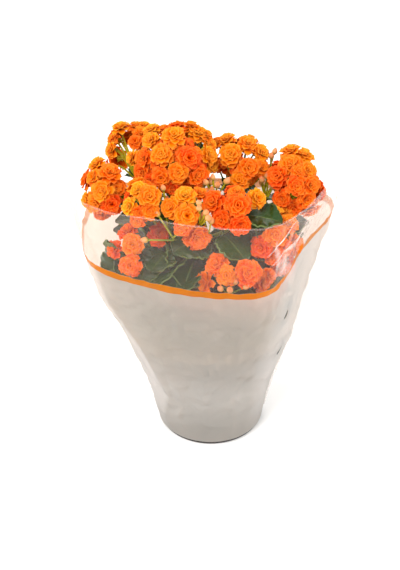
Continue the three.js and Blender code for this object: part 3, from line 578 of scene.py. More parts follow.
def makeFloret(number, petals):
    random = makeRandom(40 + number)
    copies = []
    start = 0
    opened = floret["opening"] * max(0, number - floret["closedVariants"] + 1)
    for layer, template in zip(petalLayers, petals):
        step = 2 * math.pi / layer["count"]
        start += 0.5 * step + 0.3 * random()
        for k in range(layer["count"]):
            turn = start + step * k + math.radians(floret["turnJitter"]) * (2 * random() - 1)
            tilt = math.radians(layer["tilt"] - opened + floret["tiltJitter"] * (2 * random() - 1))
            roll = math.radians(floret["rollJitter"]) * (2 * random() - 1)
            size = floret["petalSmallest"] + floret["petalRange"] * random()
            shade = random() - 0.5
            matrix = (Matrix.Rotation(turn, 4, "Z")
                      @ Matrix.Translation((0, layer["start"] * mm, layer["rise"] * mm))
                      @ Matrix.Rotation(tilt, 4, "X") @ Matrix.Rotation(roll, 4, "Y") @ Matrix.Scale(size, 4))
            copy = placedCopy(template, matrix)
            for point in copy.data.color_attributes["petalTint"].data:
                along, _, depth, across = point.color
                point.color = (along, shade, depth, across)
            copies.append(copy)
    return joinPieces(f"floret{number}", copies)


def headFrame(head):
    towards, lean = math.radians(head["towards"]), math.radians(head["lean"])
    axis = Vector((math.sin(towards) * math.sin(lean), -math.cos(towards) * math.sin(lean), math.cos(lean)))
    side = axis.cross(Vector((0.3, -1, 0.2))).normalized()
    return Vector(head["hub"]), axis, side, side.cross(axis)


def onDome(axis, side, front, tilt, turn):
    return (axis * math.cos(tilt) + front * (math.cos(turn) * math.sin(tilt))
            + side * (math.sin(turn) * math.sin(tilt)))


def placeFlorets(head, seed):
    random = makeRandom(seed)
    hub, *directions = headFrame(head)
    step = 2 * math.asin(floret["spacing"] / 2 / head["radius"])
    florets = []
    for ring, count in enumerate(head["rings"]):
        theta = step * ring
        full = max(count, math.floor(2 * math.pi * math.sin(theta) * head["radius"] / floret["spacing"] + 0.12))
        for j in range(count):
            phi = 2 * math.pi * (j - (count - 1) / 2) / max(1, full) + math.radians(head["turn"])
            tilt = theta + (math.radians(4 * (random() - 0.5)) if ring else 0)
            facing = onDome(*directions, tilt, phi)
            florets.append({"place": hub + facing * head["radius"], "facing": facing, "twist": 2 * math.pi * random(),
                            "size": floret["smallest"] + (floret["largest"] - floret["smallest"]) * random()})
    for one in florets:
        near = min([(other["place"] - one["place"]).length for other in florets if other is not one]
                   + [floret["widestGap"] * floret["tipRadius"]])
        one["size"] = min(one["size"], floret["shareOfGap"] * near / floret["tipRadius"])
    return florets


def turnedMatrix(across, along, up, place, size):
    matrix = Matrix((across, along, up)).transposed().to_4x4() @ Matrix.Scale(size, 4)
    matrix.translation = place * mm
    return matrix


def facingMatrix(place, facing, twist, size):
    across = facing.cross(Vector((0.2, 0.3, 1))).normalized()
    turned = across * math.cos(twist) + facing.cross(across) * math.sin(twist)
    return turnedMatrix(turned, facing.cross(turned), facing, place, size)


def floretMatrix(one):
    return facingMatrix(one["place"], one["facing"], one["twist"], one["size"])


# On the side in view the florets stand where they are seen; the rest of the dome keeps the even rings
def hiddenSide(head, facing):
    return head["name"] not in seenFlorets or facing.dot(viewSide) < 0.15


# points that stay free, so that the white of the film shows between the heads
clearings = [(7.7, 31, 218), (43.7, -8, 223), (37.7, 1, 225), (43, 6, 240)]


def withSeenFlorets(head, seed):
    random = makeRandom(seed)
    seen = [{"place": Vector(entry[:3]), "facing": Vector(entry[3:6]).normalized(), "twist": 2 * math.pi * random(),
             "size": entry[6] * floret["seenScale"], "tone": entry[7]} for entry in seenFlorets.get(head["name"], [])]
    taken = [one["place"] for one in seen] + [Vector(point) for point in clearings]
    return seen + [one for one in head["florets"] if hiddenSide(head, one["facing"])
                   and all((one["place"] - place).length >= floret["apart"] for place in taken)]


# Where a gap between three florets is left, a smaller one sits in it, a little lower
gapFlorets = {"candidates": 240, "room": 9.6, "between": 13, "lower": 3.2, "deeper": 7, "size": 0.8, "beyond": 0.15,
              "crowded": 1.15, "lowest": -0.1, "deep": ("crown", "right", "right_top", "left")}


def fillGaps(head, seed):
    random = makeRandom(seed)
    hub, *directions = headFrame(head)
    step = 2 * math.asin(floret["spacing"] / 2 / head["radius"])
    widest = step * (len(head["rings"]) - 1) + gapFlorets["beyond"]
    added = []
    for k in range(gapFlorets["candidates"]):
        facing = onDome(*directions, widest * math.sqrt((k + 0.5) / gapFlorets["candidates"]), goldenTurn * k)
        place = hub + facing * head["radius"]
        near = sorted((one["place"] - place).length for one in head["florets"])
        inGap = near[0] > gapFlorets["room"] and near[min(2, len(near) - 1)] < gapFlorets["crowded"] * floret["spacing"]
        free = all((one["place"] - place).length > gapFlorets["between"] for one in added)
        hidden = hiddenSide(head, facing)
        if inGap and free and facing.z > gapFlorets["lowest"] and (hidden or head["name"] in gapFlorets["deep"]):
            added.append({"place": place, "facing": facing, "twist": 2 * math.pi * random(),
                          "size": gapFlorets["size"] * (0.92 + 0.16 * random())})
            if not hidden:
                added[-1]["tone"] = 0.05 + 0.4 * random()
    for one in added:
        lower = gapFlorets["lower"] if hiddenSide(head, one["facing"]) else gapFlorets["deeper"]
        one["place"] = one["place"] - one["facing"] * lower
    return added


def petalMaterial():
    # Kalanchoe petal: thin, soft and slightly waxy; darker and redder in the throat, partly its own colour and partly
    # painted shade, and paler at the rim, partly a painted glow of light through the thin edge
    skin = newMaterial("kalanchoePetal")
    place = objectPlace(skin)
    along, shade, _, across = tintParts(skin, "petalTint")
    # painted shade: both ramps start dark in the throat, partly the petal's redder base and partly the shade in the
    # floret's hollow middle
    red = addRamp(skin, along, [(0.0, "#8E0600"), (0.35, "#D42000"), (0.85, "#FF4E02")])
    golden = addRamp(skin, along, [(0.0, "#B83000"), (0.45, "#F48000"), (0.9, "#FFAE04")])
    # painted glow: the paler rim is partly light showing through the thin petal edge
    rim = addRange(skin, addMath(skin, "MAXIMUM", along, across), 0.8, 1, 0, 0.85)
    blotched = addMath(skin, "MULTIPLY_ADD", addNoise(skin, place, 120), 0.5, shade)
    tone = addMath(skin, "SUBTRACT", blotched, 0.25, use_clamp=True)
    colour = addBlend(skin, rim, addBlend(skin, tone, red, golden), addBlend(skin, tone, "#FF7A34", "#FFC044"))
    # the surface is finely grained, about 1 mm from grain to grain
    bump = addBump(skin, addNoise(skin, place, 900, 3), 0.25, 0.3)
    surface = addSurface(skin, colour, 0.6, specular=0.05, normal=bump)
    # a petal is thin enough to glow where the light falls on its other side
    return finished(skin, addMixed(skin, 0.28, surface, addNode(skin, "BsdfTranslucent", {"Color": colour})))


# the heads behind and on top are more golden than those in front, and what stands low is redder
tones = {
    "middle": 0.45, "perDepth": 0.002, "perHeight": 0.001, "level": 230, "spread": 0.42, "lowTo": 215, "low": 0.12,
    "redder": 0.04, "perPetal": 0.36, "perLayer": 0.2,
}


def floretTone(one, random):
    place = one["place"]
    tone = (tones["middle"] + tones["perDepth"] * place.y + tones["perHeight"] * (place.z - tones["level"])
            + tones["spread"] * (2 * random() - 1))
    return one.get("tone", tone) - (tones["low"] if place.z < tones["lowTo"] else 0) - tones["redder"]


def makeHeads():
    petals = [makePetal(number, layer) for number, layer in enumerate(petalLayers)]
    templates = [makeFloret(number, petals) for number in range(floret["variants"])]
    skin = petalMaterial()
    slots = ("petals_red", "petals_orange", "petals_yellow")
    for number, head in enumerate(heads):
        random = makeRandom(5000 + number)
        copies = []
        for one in head["florets"]:
            template = templates[int(random() * len(templates)) % len(templates)]
            copy = placedCopy(template, floretMatrix(one))
            tone = floretTone(one, random)
            for point in copy.data.color_attributes["petalTint"].data:
                along, shade, depth, across = point.color
                shade = tone + tones["perPetal"] * shade + tones["perLayer"] * (depth - 0.5)
                point.color = (along, shade, depth, across)
            copies.append(copy)
        bloom = joinPieces("florets" + titled(head["name"]), copies)
        dress(bloom, 50, slots[number % 3], "bloom_" + head["name"], skin)
    removeAll(petals + templates)


for number, head in enumerate(heads):
    head["florets"] = placeFlorets(head, 1001 + 97 * number)
    head["florets"] = withSeenFlorets(head, 2001 + number)
    head["florets"] += fillGaps(head, 3001 + number)
makeHeads()
print("heads made:", sum(len(head["florets"]) for head in heads), "florets")


# Stems, stalks, pedicels, calyces and buds
shoots = {"front_left": 225, "front_right": 315, "back_right": 45, "back_left": 135}

stem = {
    "circle": 22, "outward": 6, "foot": 67, "top": 172, "radius": 4, "tipRadius": 2.8, "firstStalk": 0.74,
    "stalkSpan": 0.2, "stalkRadius": 2.1, "flare": 1.15, "umbelDrop": 14, "bowAt": 0.45, "bow": 4, "straight": 9,
}

# a pedicel leaves the stalk at one of four levels, bows outwards and runs straight into its calyx
pedicel = {
    "radius": 0.75, "levels": 4, "first": 1, "step": 1.8, "bowAt": 0.35, "bow": 1.5, "straight": 3.5, "into": 0.6,
    "flare": 1.1,
}
petiole = {"radius": 1.9, "endRadius": 1.6, "sag": 1.5, "inside": 3}

# the lowest point of each head's core along its axis, from the solids
headLevels = {
    "left": -12.17, "front_left": -2.9, "front": -1.55, "left_low": -0.35, "front_right": 3, "right_low": 0.92,
    "corner_low": 4.09, "right_top": -10.79, "right": -12.28, "back": 2.21, "back_right": 1.93,
    "crown": -2.81, "back_top_left": -11.9, "back_left": -11.04,
}

# sprays of buds: shoot, the stalk's points and the buds' places. The first are in the solids too, each with its
# twig rooted a little further down the stalk; the others fan out from the stalk's end
solidSprays = [
    ("front_left", [(-30.2, -22.1, 179.5), (-31.9, -24.4, 200.4), (-33, -26, 221)],
     [(-38.93, -24.46, 232.74), (-33.74, -28.14, 231.72)]),
    ("front_left", [(-30.2, -22.1, 179.5), (-43.3, -11.2, 201.6), (-52, -4, 223)],
     [(-49.93, -0.5, 235.05), (-47.03, -3, 236.44)]),
    ("front_left", [(-19.5, -24.8, 180.9), (-9, -41.1, 199.1), (-2, -52, 218)],
     [(-5.36, -47.98, 228.2), (-0.98, -56.77, 232.54)]),
    ("front_right", [(17.9, -30.2, 164.7), (18, -55.3, 164.5), (18, -72, 171)], []),
    ("back_right", [(19.9, 19.8, 172.1), (34.4, 7.9, 197.4), (44, 0, 221)],
     [(42.81, -3.03, 237.57), (39.2, -5.76, 236.59), (49.22, 1.6, 234.76)]),
    ("back_right", [(35.2, 13.1, 173.1), (40.5, 19.6, 197.8), (44, 24, 221)],
     [(38.07, 23.62, 234.84), (41.46, 18.31, 234.5)]),
    ("back_right", [(17, 26.7, 169.3), (0.8, 39.5, 184.3), (-10, 48, 201)],
     [(-12.99, 53.42, 213.39), (-9.73, 48.6, 211.1)]),
    ("back_left", [(-22.9, 15.2, 179.7), (-9.2, -4.7, 201.7), (0, -18, 223)],
     [(-5.93, -12.98, 236.02), (-0.29, -19.25, 234.83), (-1.55, -14.15, 238.62), (-3.53, -21.59, 235.97)]),
]

extraSprays = [
    ("front_left", [(-19.8, -29, 200), (-12, -42, 216), (-9, -52, 230)],
     [(-9.7, -58, 249.4), (-9.7, -60, 246.3), (-5.3, -60, 242.7), (-3.8, -62, 239.6)]),
    ("front_left", [(-33, -25, 190), (-34, -33, 214), (-35, -36, 236)], [(-36.4, -38, 249.3)]),
    ("front_left", [(-20, -28, 196), (-26, -44, 206), (-29, -52, 216)],
     [(-24.7, -62, 228), (-39.6, -55, 237.6), (-48, -60, 219.4)]),
    ("back_left", [(-25, 12, 205), (-8, -8, 215), (2, -17, 230)],
     [(0.9, -18, 246), (-3.7, -22, 244.5), (3.9, -24, 243.5), (10.1, -18, 242.4), (1, -26, 236)]),
    ("back_right", [(21, 20, 205), (34, 8, 210), (42, 0, 216)],
     [(39.1, 0, 230), (43.8, 0, 230.9), (46.7, -5, 229.5), (36, -7, 227)]),
    ("back_right", [(21, 20, 205), (38, 15, 226), (46, 12, 240)], [(48.4, 12, 250.8), (46, 9, 249)]),
    ("back_left", [(-45, 26, 190), (-58, 12, 206), (-68, 0, 218)], [(-70.1, -5, 233.2), (-71.2, -5, 227.7)]),
    ("front_right", [(17, -43, 172), (14, -62, 174), (14, -70, 178)],
     [(17.3, -76, 190.7), (24.1, -77, 187.5), (7.6, -77, 185.6), (13.6, -77.5, 184.7)]),
]

twig = {"stalkRadius": 1.0, "radius": 0.7, "into": 0.8, "firstDown": 0.6, "stepDown": 2, "extraStep": 1.2}
bud = {"length": 7.5, "radius": 2.5, "foot": 0.25, "taper": 0.3, "low": 0.8, "full": 0.75}
calyx = {
    "footRadius": 0.9, "radius": 2.0, "sepals": 4, "sepalRadius": 1.3, "sepalLength": 5, "sepalLean": -48,
    "sepalFlat": 0.35, "sepalOut": 0.8, "sepalDown": 0.75,
}


def stemPoint(shoot, share):
    angle = math.radians(shoots[shoot])
    reach = stem["circle"] + stem["outward"] * share
    return Vector((reach * math.cos(angle), reach * math.sin(angle),
                   stem["foot"] + (stem["top"] - stem["foot"]) * share))


def makeStrands(name, strands):
    curve = bpy.data.curves.new(name, "CURVE")
    curve.dimensions = "3D"
    curve.bevel_depth = mm
    curve.bevel_resolution = 1
    curve.use_fill_caps = True
    for points, startRadius, endRadius in strands:
        spline = curve.splines.new("NURBS")
        spline.points.add(len(points) - 1)
        spline.order_u = min(4, len(points))
        spline.use_endpoint_u = True
        spline.resolution_u = 3
        for k, point in enumerate(points):
            share = k / (len(points) - 1)
            spline.points[k].co = (*(Vector(point) * mm), 1)
            spline.points[k].radius = startRadius + (endRadius - startRadius) * share
    activate(addPiece(name, curve))
    bpy.ops.object.convert(target="MESH")
    return bpy.context.object


def makeCone(vertices, footRadius, topRadius, length, middle):
    deselectAll()
    bpy.ops.mesh.primitive_cone_add(vertices=vertices, radius1=footRadius * mm, radius2=topRadius * mm,
                                    depth=length * mm, location=(0, 0, middle * mm))
    bpy.ops.object.transform_apply(location=True)
    return bpy.context.object


def makeCalyx():
    tube, length = floret["tubeLength"], calyx["sepalLength"]
    parts = [makeCone(8, calyx["footRadius"], calyx["radius"], tube, -0.5 * tube)]
    for k in range(calyx["sepals"]):
        sepal = makeCone(4, calyx["sepalRadius"], 0, length, 0.5 * length)
        sepal.data.transform(Matrix.Diagonal((1, calyx["sepalFlat"], 1, 1)))
        sepal.data.transform(Matrix.Rotation(2 * math.pi * (k + 0.5) / calyx["sepals"], 4, "Z")
                             @ Matrix.Translation((0, calyx["sepalOut"] * mm, -calyx["sepalDown"] * tube * mm))
                             @ Matrix.Rotation(math.radians(calyx["sepalLean"]), 4, "X"))
        parts.append(sepal)
    return joinPieces("calyx", parts)


def makeBud():
    deselectAll()
    bpy.ops.mesh.primitive_uv_sphere_add(segments=10, ring_count=8, radius=0.5)
    shape = bpy.context.object
    for vertex in shape.data.vertices:
        along = vertex.co.z + 0.5
        belly = math.sin(math.pi * min(1, along) ** bud["low"]) ** bud["full"] if 0 < along < 1 else 0
        around = math.hypot(vertex.co.x, vertex.co.y) or 1
        reach = bud["radius"] * (bud["foot"] * (1 - along) + belly * (1 - bud["taper"] * along)) / around
        if along < 0.001 or along > 0.999:
            reach = 0
        vertex.co = Vector((vertex.co.x * reach, vertex.co.y * reach, bud["length"] * along)) * mm
    tintPoints(shape, "budTint", lambda co: (co.z / (bud["length"] * mm), 0.5, 0, 1))
    return shape


def stalkMaterial():
    # Living stalk: smooth and fleshy, yellow-green where the light reaches it
    skin = newMaterial("kalanchoeStalk")
    place = objectPlace(skin)
    height = addNode(skin, "SeparateXYZ", {0: place}).outputs["Z"]
    tone = addMath(skin, "MULTIPLY_ADD", addRange(skin, height, 0.19, 0.238, 0, 1), 0.6, addNoise(skin, place, 70, 3),
                   use_clamp=True)
    colour = addRamp(skin, tone, [(0.35, "#33491A"), (0.72, "#7C8C18"), (1.0, "#C0B81E")])
    return finished(skin, addSurface(skin, colour, 0.42))


def budMaterial():
    # Closed bud: matte and peach coloured, green at the calyx, warmer at the tip
    skin = newMaterial("kalanchoeBud")
    along = tintParts(skin, "budTint")[0]
    colour = addRamp(skin, along, [(0.1, "#96A030"), (0.3, "#CFA050"), (0.6, "#E3A066"), (0.95, "#EE8248")])
    bump = addBump(skin, addNoise(skin, objectPlace(skin), 500), 0.2, 0.4)
    return finished(skin, addSurface(skin, colour, 0.5, normal=bump))


def pedicelPoints(one, umbel, axis, level):
    facing = one["facing"]
    foot = one["place"] - facing * floret["tubeLength"] * one["size"]
    start = umbel - axis * (pedicel["first"] + level * pedicel["step"])
    return [start, start.lerp(foot, pedicel["bowAt"]) + axis * pedicel["bow"], foot - facing * pedicel["straight"],
            foot + facing * pedicel["into"]]


def arcPoint(points, t):
    places = [Vector(point) for point in points]
    while len(places) > 1:
        places = [a.lerp(b, t) for a, b in zip(places, places[1:])]
    return places[0]


# from the nearest stalk to each stalk leaf, so that no leaf hangs free
def petioles(shoot, stalkLines):
    carriers = [arcPoint(line, k / 24) for line in stalkLines for k in range(25)]
    found = []
    for root, heading, *rest in stalkLeaves[shoot]:
        root = Vector(root)
        near = min(carriers, key=lambda point: (point - root).length)
        turn = math.radians(heading)
        inward = Vector((math.cos(turn), math.sin(turn), 0)) * petiole["inside"]
        sagging = near.lerp(root, 0.5) - Vector((0, 0, petiole["sag"]))
        found.append(([near, sagging, root - inward, root + inward], petiole["radius"], petiole["endRadius"]))
    return found


# small green bracts where a head's pedicels leave its stalk
bract = {"count": 13, "length": 14, "width": 6, "cup": 0.7, "curl": -1.0, "spread": (20, 78), "smallest": 0.8,
         "range": 0.4}


def placeBracts(template, head, umbel):
    random = makeRandom(700 + len(head["name"]) * 31 + head["radius"])
    axis, side, front = headFrame(head)[1:]
    low, high = bract["spread"]
    copies = []
    for k in range(bract["count"]):
        along = onDome(axis, side, front, math.radians(low + (high - low) * random()), goldenTurn * k)
        across = along.cross(axis).normalized()
        size = bract["smallest"] + bract["range"] * random()
        matrix = turnedMatrix(across, along, across.cross(along), umbel, size)
        copies.append(placedCopy(template, matrix))
    return copies


# the strands and buds of every spray on a shoot
def budTwigs(shoot, budShape):
    strands, buds = [], []
    for sprays, endRadius in ((solidSprays, 0.9), (extraSprays, 0.8)):
        for _, line, places in [spray for spray in sprays if spray[0] == shoot]:
            strands.append((line, twig["stalkRadius"], endRadius))
            fork = Vector(line[-1])
            down = (Vector(line[-2]) - fork).normalized()
            for k, place in enumerate(places):
                if sprays is solidSprays:
                    root, size = fork + down * (twig["firstDown"] + twig["stepDown"] * k), 1
                else:
                    root, size = fork - Vector((0, 0, twig["extraStep"] * k)), 0.82 + 0.06 * (k % 4)
                place = Vector(place)
                facing = (place - root).normalized()
                strands.append(([root, place + facing * twig["into"]], twig["radius"], twig["radius"]))
                buds.append(placedCopy(budShape, facingMatrix(place, facing, 0, size)))
    return strands, buds


def makeStalks():
    skin, budSkin = stalkMaterial(), budMaterial()
    bractSkin = leafMaterial("kalanchoeBract", ("#1F3210", "#3A5519", "#5C7A30"), 0.45)
    templates = calyxShape, budShape, bractShape = makeCalyx(), makeBud(), makePetal(0, bract)
    for shoot in shoots:
        lines = [[stemPoint(shoot, share / 4) for share in range(5)]]
        strands = [(lines[0], stem["radius"], stem["tipRadius"])]
        caps, bracts = [], []
        bearing = [head for head in heads if head["shoot"] == shoot]
        for i, head in enumerate(bearing):
            hub, axis = headFrame(head)[:2]
            umbel = hub + axis * min(-2, headLevels[head["name"]] - stem["umbelDrop"])
            start = stemPoint(shoot, stem["firstStalk"] + stem["stalkSpan"] * i / len(bearing))
            bowed = start.lerp(umbel, stem["bowAt"]) - axis * stem["bow"]
            lines.append([start, bowed, umbel - axis * stem["straight"], umbel])
            strands.append((lines[-1], stem["stalkRadius"] * stem["flare"], stem["stalkRadius"]))
            bracts += placeBracts(bractShape, head, umbel)
            for k, one in enumerate(head["florets"]):
                points = pedicelPoints(one, umbel, axis, k % pedicel["levels"])
                strands.append((points, pedicel["radius"] * pedicel["flare"], pedicel["radius"]))
                caps.append(placedCopy(calyxShape, floretMatrix(one)))
        twigs, buds = budTwigs(shoot, budShape)
        tubes = makeStrands("strands", strands + twigs + petioles(shoot, lines))
        for name, pieces, degrees, slot, material in (
                ("stalks", [tubes, *caps], 50, "foliage", skin), ("bracts", bracts, 60, "foliage", bractSkin),
                ("buds", buds, 60, "petals_yellow", budSkin)):
            dress(joinPieces(name + titled(shoot), pieces), degrees, slot, "shoot_" + shoot, material)
    removeAll(templates)


# Leaves
leaf = {
    "columns": 14, "rows": 48, "thickness": 1.2, "petiole": 0.14, "petioleWidth": 3.2,
    "droop": 26, "roll": 50, "skew": 0.72, "full": 0.75, "blunt": 30, "lobes": 7, "lobeRound": 0.55, "tooth": 1.04,
    "notch": 0.9, "fold": 0.18, "wave": 1.2, "ripple": 0.9, "ribDepth": 0.7, "ribWidth": 1.8,
}

# by shoot: height of the root, heading and pitch in degrees, length and width
leaves = {
    "front_left": [
        (112, 200.01, 44, 57.76, 38.29), (125, 249.37, 39.5, 61, 39.79), (138, 198.89, 32, 65.65, 41.84),
        (151, 255.37, 30.5, 59.91, 39.38), (164, 194.58, 20, 62.89, 40.6), (177, 261.13, 14, 57.76, 38.29)],
    "front_right": [
        (112, 290.01, 44, 57.76, 38.29), (125, 340.78, 44, 55.67, 37.45), (138, 287.96, 33.5, 63.68, 41),
        (151, 344.15, 38, 51.45, 35.6), (164, 284.92, 20, 62.89, 40.6), (177, 349.46, 24.5, 46.67, 33.24)],
    "back_right": [
        (112, 20.02, 44, 57.76, 38.29), (125, 72.2, 51.5, 47.81, 33.85), (138, 17.03, 33.5, 63.68, 41),
        (151, 72.93, 42.5, 46.96, 33.5), (164, 15.27, 20, 62.89, 40.6), (177, 77.79, 27.5, 43.91, 31.92)],
    "back_left": [
        (112, 110.02, 50, 51.13, 35.32), (125, 157.62, 39.5, 61, 39.79), (138, 106.1, 45.5, 49.91, 34.88),
        (151, 167.72, 27.5, 63.68, 41), (164, 99.61, 35, 46.37, 33.17), (177, 172.13, 14, 57.76, 38.29)],
}

# leaves on the flower stalks, by shoot: root, heading, pitch and droop in degrees, length and width
stalkLeaves = {
    "front_left": [
        ((-12, -36, 186), 253, 8, 40, 32, 40), ((-33.6, -40, 194.5), 235, 2, 35, 23, 26),
        ((-61.9, -32, 181.3), 218, 9, 30, 27, 32), ((-71, -36, 180), 235, 64, 0, 34, 15),
        ((-47.8, -30, 189.4), 258, 2, 40, 34, 34), ((-55.3, -20, 215.3), 214, 57, 30, 24, 22),
        ((-30, -22, 181), 250, 20, 45, 48, 40), ((-49, -32, 178), 215, 20, 40, 30, 32),
        ((-55, 3, 195), 250, 88, 20, 38, 28), ((-40, -8, 172), 240, 75, 30, 48, 36),
        ((-19, -19, 160), 85, 80, 25, 48, 40), ((-38, -7, 171), 170, 70, 30, 46, 36)],
    "front_right": [
        ((1, -38, 208), 209, 13, 40, 35, 34), ((7, -40, 212), 310, -4, 35, 31, 32),
        ((10.2, -45, 195), 282, -2, 40, 28, 30), ((24, -33, 223), 335, 20, 30, 32, 24),
        ((30, -20.5, 172), 300, 25, 45, 44, 38), ((37, -20.7, 186), 318, 35, 40, 30, 30),
        ((16, -28, 205), 342, 55, 40, 31, 32), ((18.7, -19, 160), 100, 80, 25, 48, 40)],
    "back_right": [((21, 19, 190), 320, 60, 40, 45, 36), ((35, 13, 175), 280, 75, 30, 46, 38)],
    "back_left": [((-14, 22, 226), 80, 78, 10, 30, 30)],
}


def makeLeaf(root, heading, pitch, droop, length, width, roll=0):
    blade = makeGrid(leaf["columns"], leaf["rows"])
    root = Vector(root)
    heading, pitch, droop = math.radians(heading), math.radians(pitch), math.radians(droop)
    out = Vector((math.cos(heading), math.sin(heading), 0))
    side = Vector((-out.y, out.x, 0))
    up = Vector((0, 0, 1))
    for vertex in blade.data.vertices:
        across, along = -2 * vertex.co.x, vertex.co.y + 0.5
        bladeShare = max(0, (along - leaf["petiole"]) / (1 - leaf["petiole"]))
        half = leaf["petioleWidth"] / 2 + width / 2 * math.sin(math.pi * bladeShare ** leaf["skew"]) ** leaf["full"]
        lobe = abs(math.sin(math.pi * leaf["lobes"] * bladeShare)) ** leaf["lobeRound"]
        edge = leaf["notch"] + (leaf["tooth"] - leaf["notch"]) * lobe
        half *= 1 + (edge - 1) * abs(across) ** 3
        half *= math.sqrt(max(0.02, 1 - along ** leaf["blunt"]))
        angle, slope = pitch - droop * along / 2, pitch - droop * along
        upright = up * math.cos(slope) - out * math.sin(slope)
        normal = upright * math.cos(roll) - side * math.sin(roll)
        sideways = side * math.cos(roll) + upright * math.sin(roll)
        reach = abs(across) * half
        lift = leaf["fold"] * reach + leaf["wave"] * math.sin(9 * along + 2 * across)
        lift = abs(across) * lift + leaf["ripple"] * across ** 2 * math.sin(26 * along + 3 * across)
        lift -= leaf["ribDepth"] * math.exp(-(reach / leaf["ribWidth"]) ** 2) * math.sin(math.pi * along)
        place = (root + out * (length * along * math.cos(angle)) + up * (length * along * math.sin(angle))
                 + sideways * (across * half) + normal * lift)
        vertex.co = place * mm
    thicken(blade, leaf["thickness"])
    return blade


def leafMaterial(name, stops, roughness):
    # Succulent leaf: thick, waxy and dark green, with a paler midrib and rim
    skin = newMaterial(name)
    place = objectPlace(skin)
    parts = addNode(skin, "SeparateXYZ", {0: addNode(skin, "TexCoord").outputs["UV"]})
    across = addMath(skin, "ABSOLUTE", addMath(skin, "SUBTRACT", parts, 0.5))
    # side veins leave the midrib about every 8 mm and sweep towards the tip
    swept = addMath(skin, "MULTIPLY_ADD", across, -0.42, parts.outputs["Y"])
    veins = addRange(skin, addMath(skin, "PINGPONG", swept, 0.06), 0, 0.012, 1, 0)
    rib = addRange(skin, across, 0.004, 0.03, 0.4, 0)
    rim = addRange(skin, across, 0.475, 0.5, 0, 0.6)
    lines = addMath(skin, "MAXIMUM", rib, addMath(skin, "MULTIPLY", veins, 0.1))
    flesh = addRamp(skin, addNoise(skin, place, 45, 4), [(0.3, stops[0]), (0.7, stops[1])])
    colour = addBlend(skin, addMath(skin, "MAXIMUM", lines, rim), flesh, stops[2])
    relief = addMath(skin, "MULTIPLY_ADD", lines, -0.8, addNoise(skin, place, 420))
    return finished(skin, addSurface(skin, colour, roughness, normal=addBump(skin, relief, 0.3, 0.8)))


def makeLeaves():
    top = leafMaterial("kalanchoeLeafTop", ("#1A3009", "#28460F", "#7C9150"), 0.3)
    under = leafMaterial("kalanchoeLeafUnderside", ("#3B5024", "#4D6330", "#8A9C5C"), 0.5)
    for shoot in shoots:
        blades = []
        random = makeRandom(600 + round(shoots[shoot]))
        for height, heading, pitch, length, width in leaves[shoot]:
            root = stemPoint(shoot, (height - stem["foot"]) / (stem["top"] - stem["foot"]))
            blades.append(makeLeaf(root, heading, pitch, leaf["droop"], length, width))
        for shape in stalkLeaves[shoot]:
            blades.append(makeLeaf(*shape, roll=math.radians(leaf["roll"]) * (random() - 0.5)))
        foliage = joinPieces("leaves" + titled(shoot), blades)
        dress(foliage, 60, "foliage", "shoot_" + shoot, top, under)
        # each leaf's faces come in the same order: upper side, underside, rim
        side = leaf["columns"] * leaf["rows"]
        whole = 2 * side + 2 * (leaf["columns"] + leaf["rows"])
        indices = [int(side <= k % whole < 2 * side) for k in range(len(foliage.data.polygons))]
        foliage.data.polygons.foreach_set("material_index", indices)


makeStalks()
print("stalks and buds made")
makeLeaves()
print("leaves made")


# Pot and soil
pot = {
    "baseRadius": 42.4, "shoulderRadius": 54.2, "rimRadius": 60, "shoulderHeight": 92, "height": 105, "wall": 1.6,
    "steps": 96, "drainHoles": 4, "drainRadius": 4, "drainCircle": 29, "soilTop": 86, "soilRadius": 51,
}


def potMaterial():
    # Polypropylene: injection moulded, dark brown and slightly satin
    skin = newMaterial("mouldedPolypropylenePot")
    scuff = addNoise(skin, objectPlace(skin), 240, 5)
    colour = addRamp(skin, scuff, [(0.35, "#2A211E"), (0.7, "#3B322E")])
    return finished(skin, addSurface(skin, colour, 0.48, normal=addBump(skin, scuff, 0.15, 0.3)))


def soilMaterial():
    # Peat: dark fibrous crumb a few millimetres across, with paler flecks
    skin = newMaterial("peatPottingSoil")
    place = objectPlace(skin)
    crumb = addNode(skin, "TexVoronoi", {"Scale": 330, "Vector": place})
    colour = addRamp(skin, addNoise(skin, place, 800, 4), [(0.3, "#1E140D"), (0.55, "#3B2A1E"), (0.72, "#6E5540")])
    return finished(skin, addSurface(skin, colour, 0.95, specular=0.2, normal=addBump(skin, crumb, 0.8, 1)))


def makePot():
    shoulder, wall, rim = pot["shoulderHeight"], pot["wall"], pot["rimRadius"]
    profile = [
        (0, 0), (pot["baseRadius"] - 1, 0), (pot["baseRadius"], 0.8), (pot["shoulderRadius"], shoulder),
        (rim - 0.6, shoulder + 1.4), (rim - 0.4, shoulder + 2.2), (rim, pot["height"] - 0.6),
        (rim - 0.5, pot["height"]), (rim - wall, pot["height"]), (rim - wall - 0.6, shoulder + wall + 1.5),
        (pot["shoulderRadius"] - wall, shoulder + wall), (pot["baseRadius"] - wall + 0.2, wall), (0, wall),
    ]
    mesh = bpy.data.meshes.new("potProfile")
    mesh.from_pydata([(r * mm, 0, z * mm) for r, z in profile], [(k, k + 1) for k in range(len(profile) - 1)], [])
    body = addPiece("growerPot", mesh)
    activate(body)
    bpy.ops.object.mode_set(mode="EDIT")
    bpy.ops.mesh.select_all(action="SELECT")
    bpy.ops.mesh.spin(steps=pot["steps"], angle=2 * math.pi, center=(0, 0, 0), axis=(0, 0, 1))
    bpy.ops.object.mode_set(mode="OBJECT")
    mergePoints(body, 0.01)
    for k in range(pot["drainHoles"]):
        angle = 2 * math.pi * k / pot["drainHoles"]
        deselectAll()
        bpy.ops.mesh.primitive_cylinder_add(
            vertices=24, radius=pot["drainRadius"] * mm, depth=8 * mm,
            location=(pot["drainCircle"] * math.cos(angle) * mm, pot["drainCircle"] * math.sin(angle) * mm, 0))
        cutter = bpy.context.object
        applyModifier(body, "BOOLEAN", object=cutter, operation="DIFFERENCE", solver="EXACT")
        bpy.data.objects.remove(cutter)
    dress(body, 35, "pot_plastic", "pot", potMaterial())


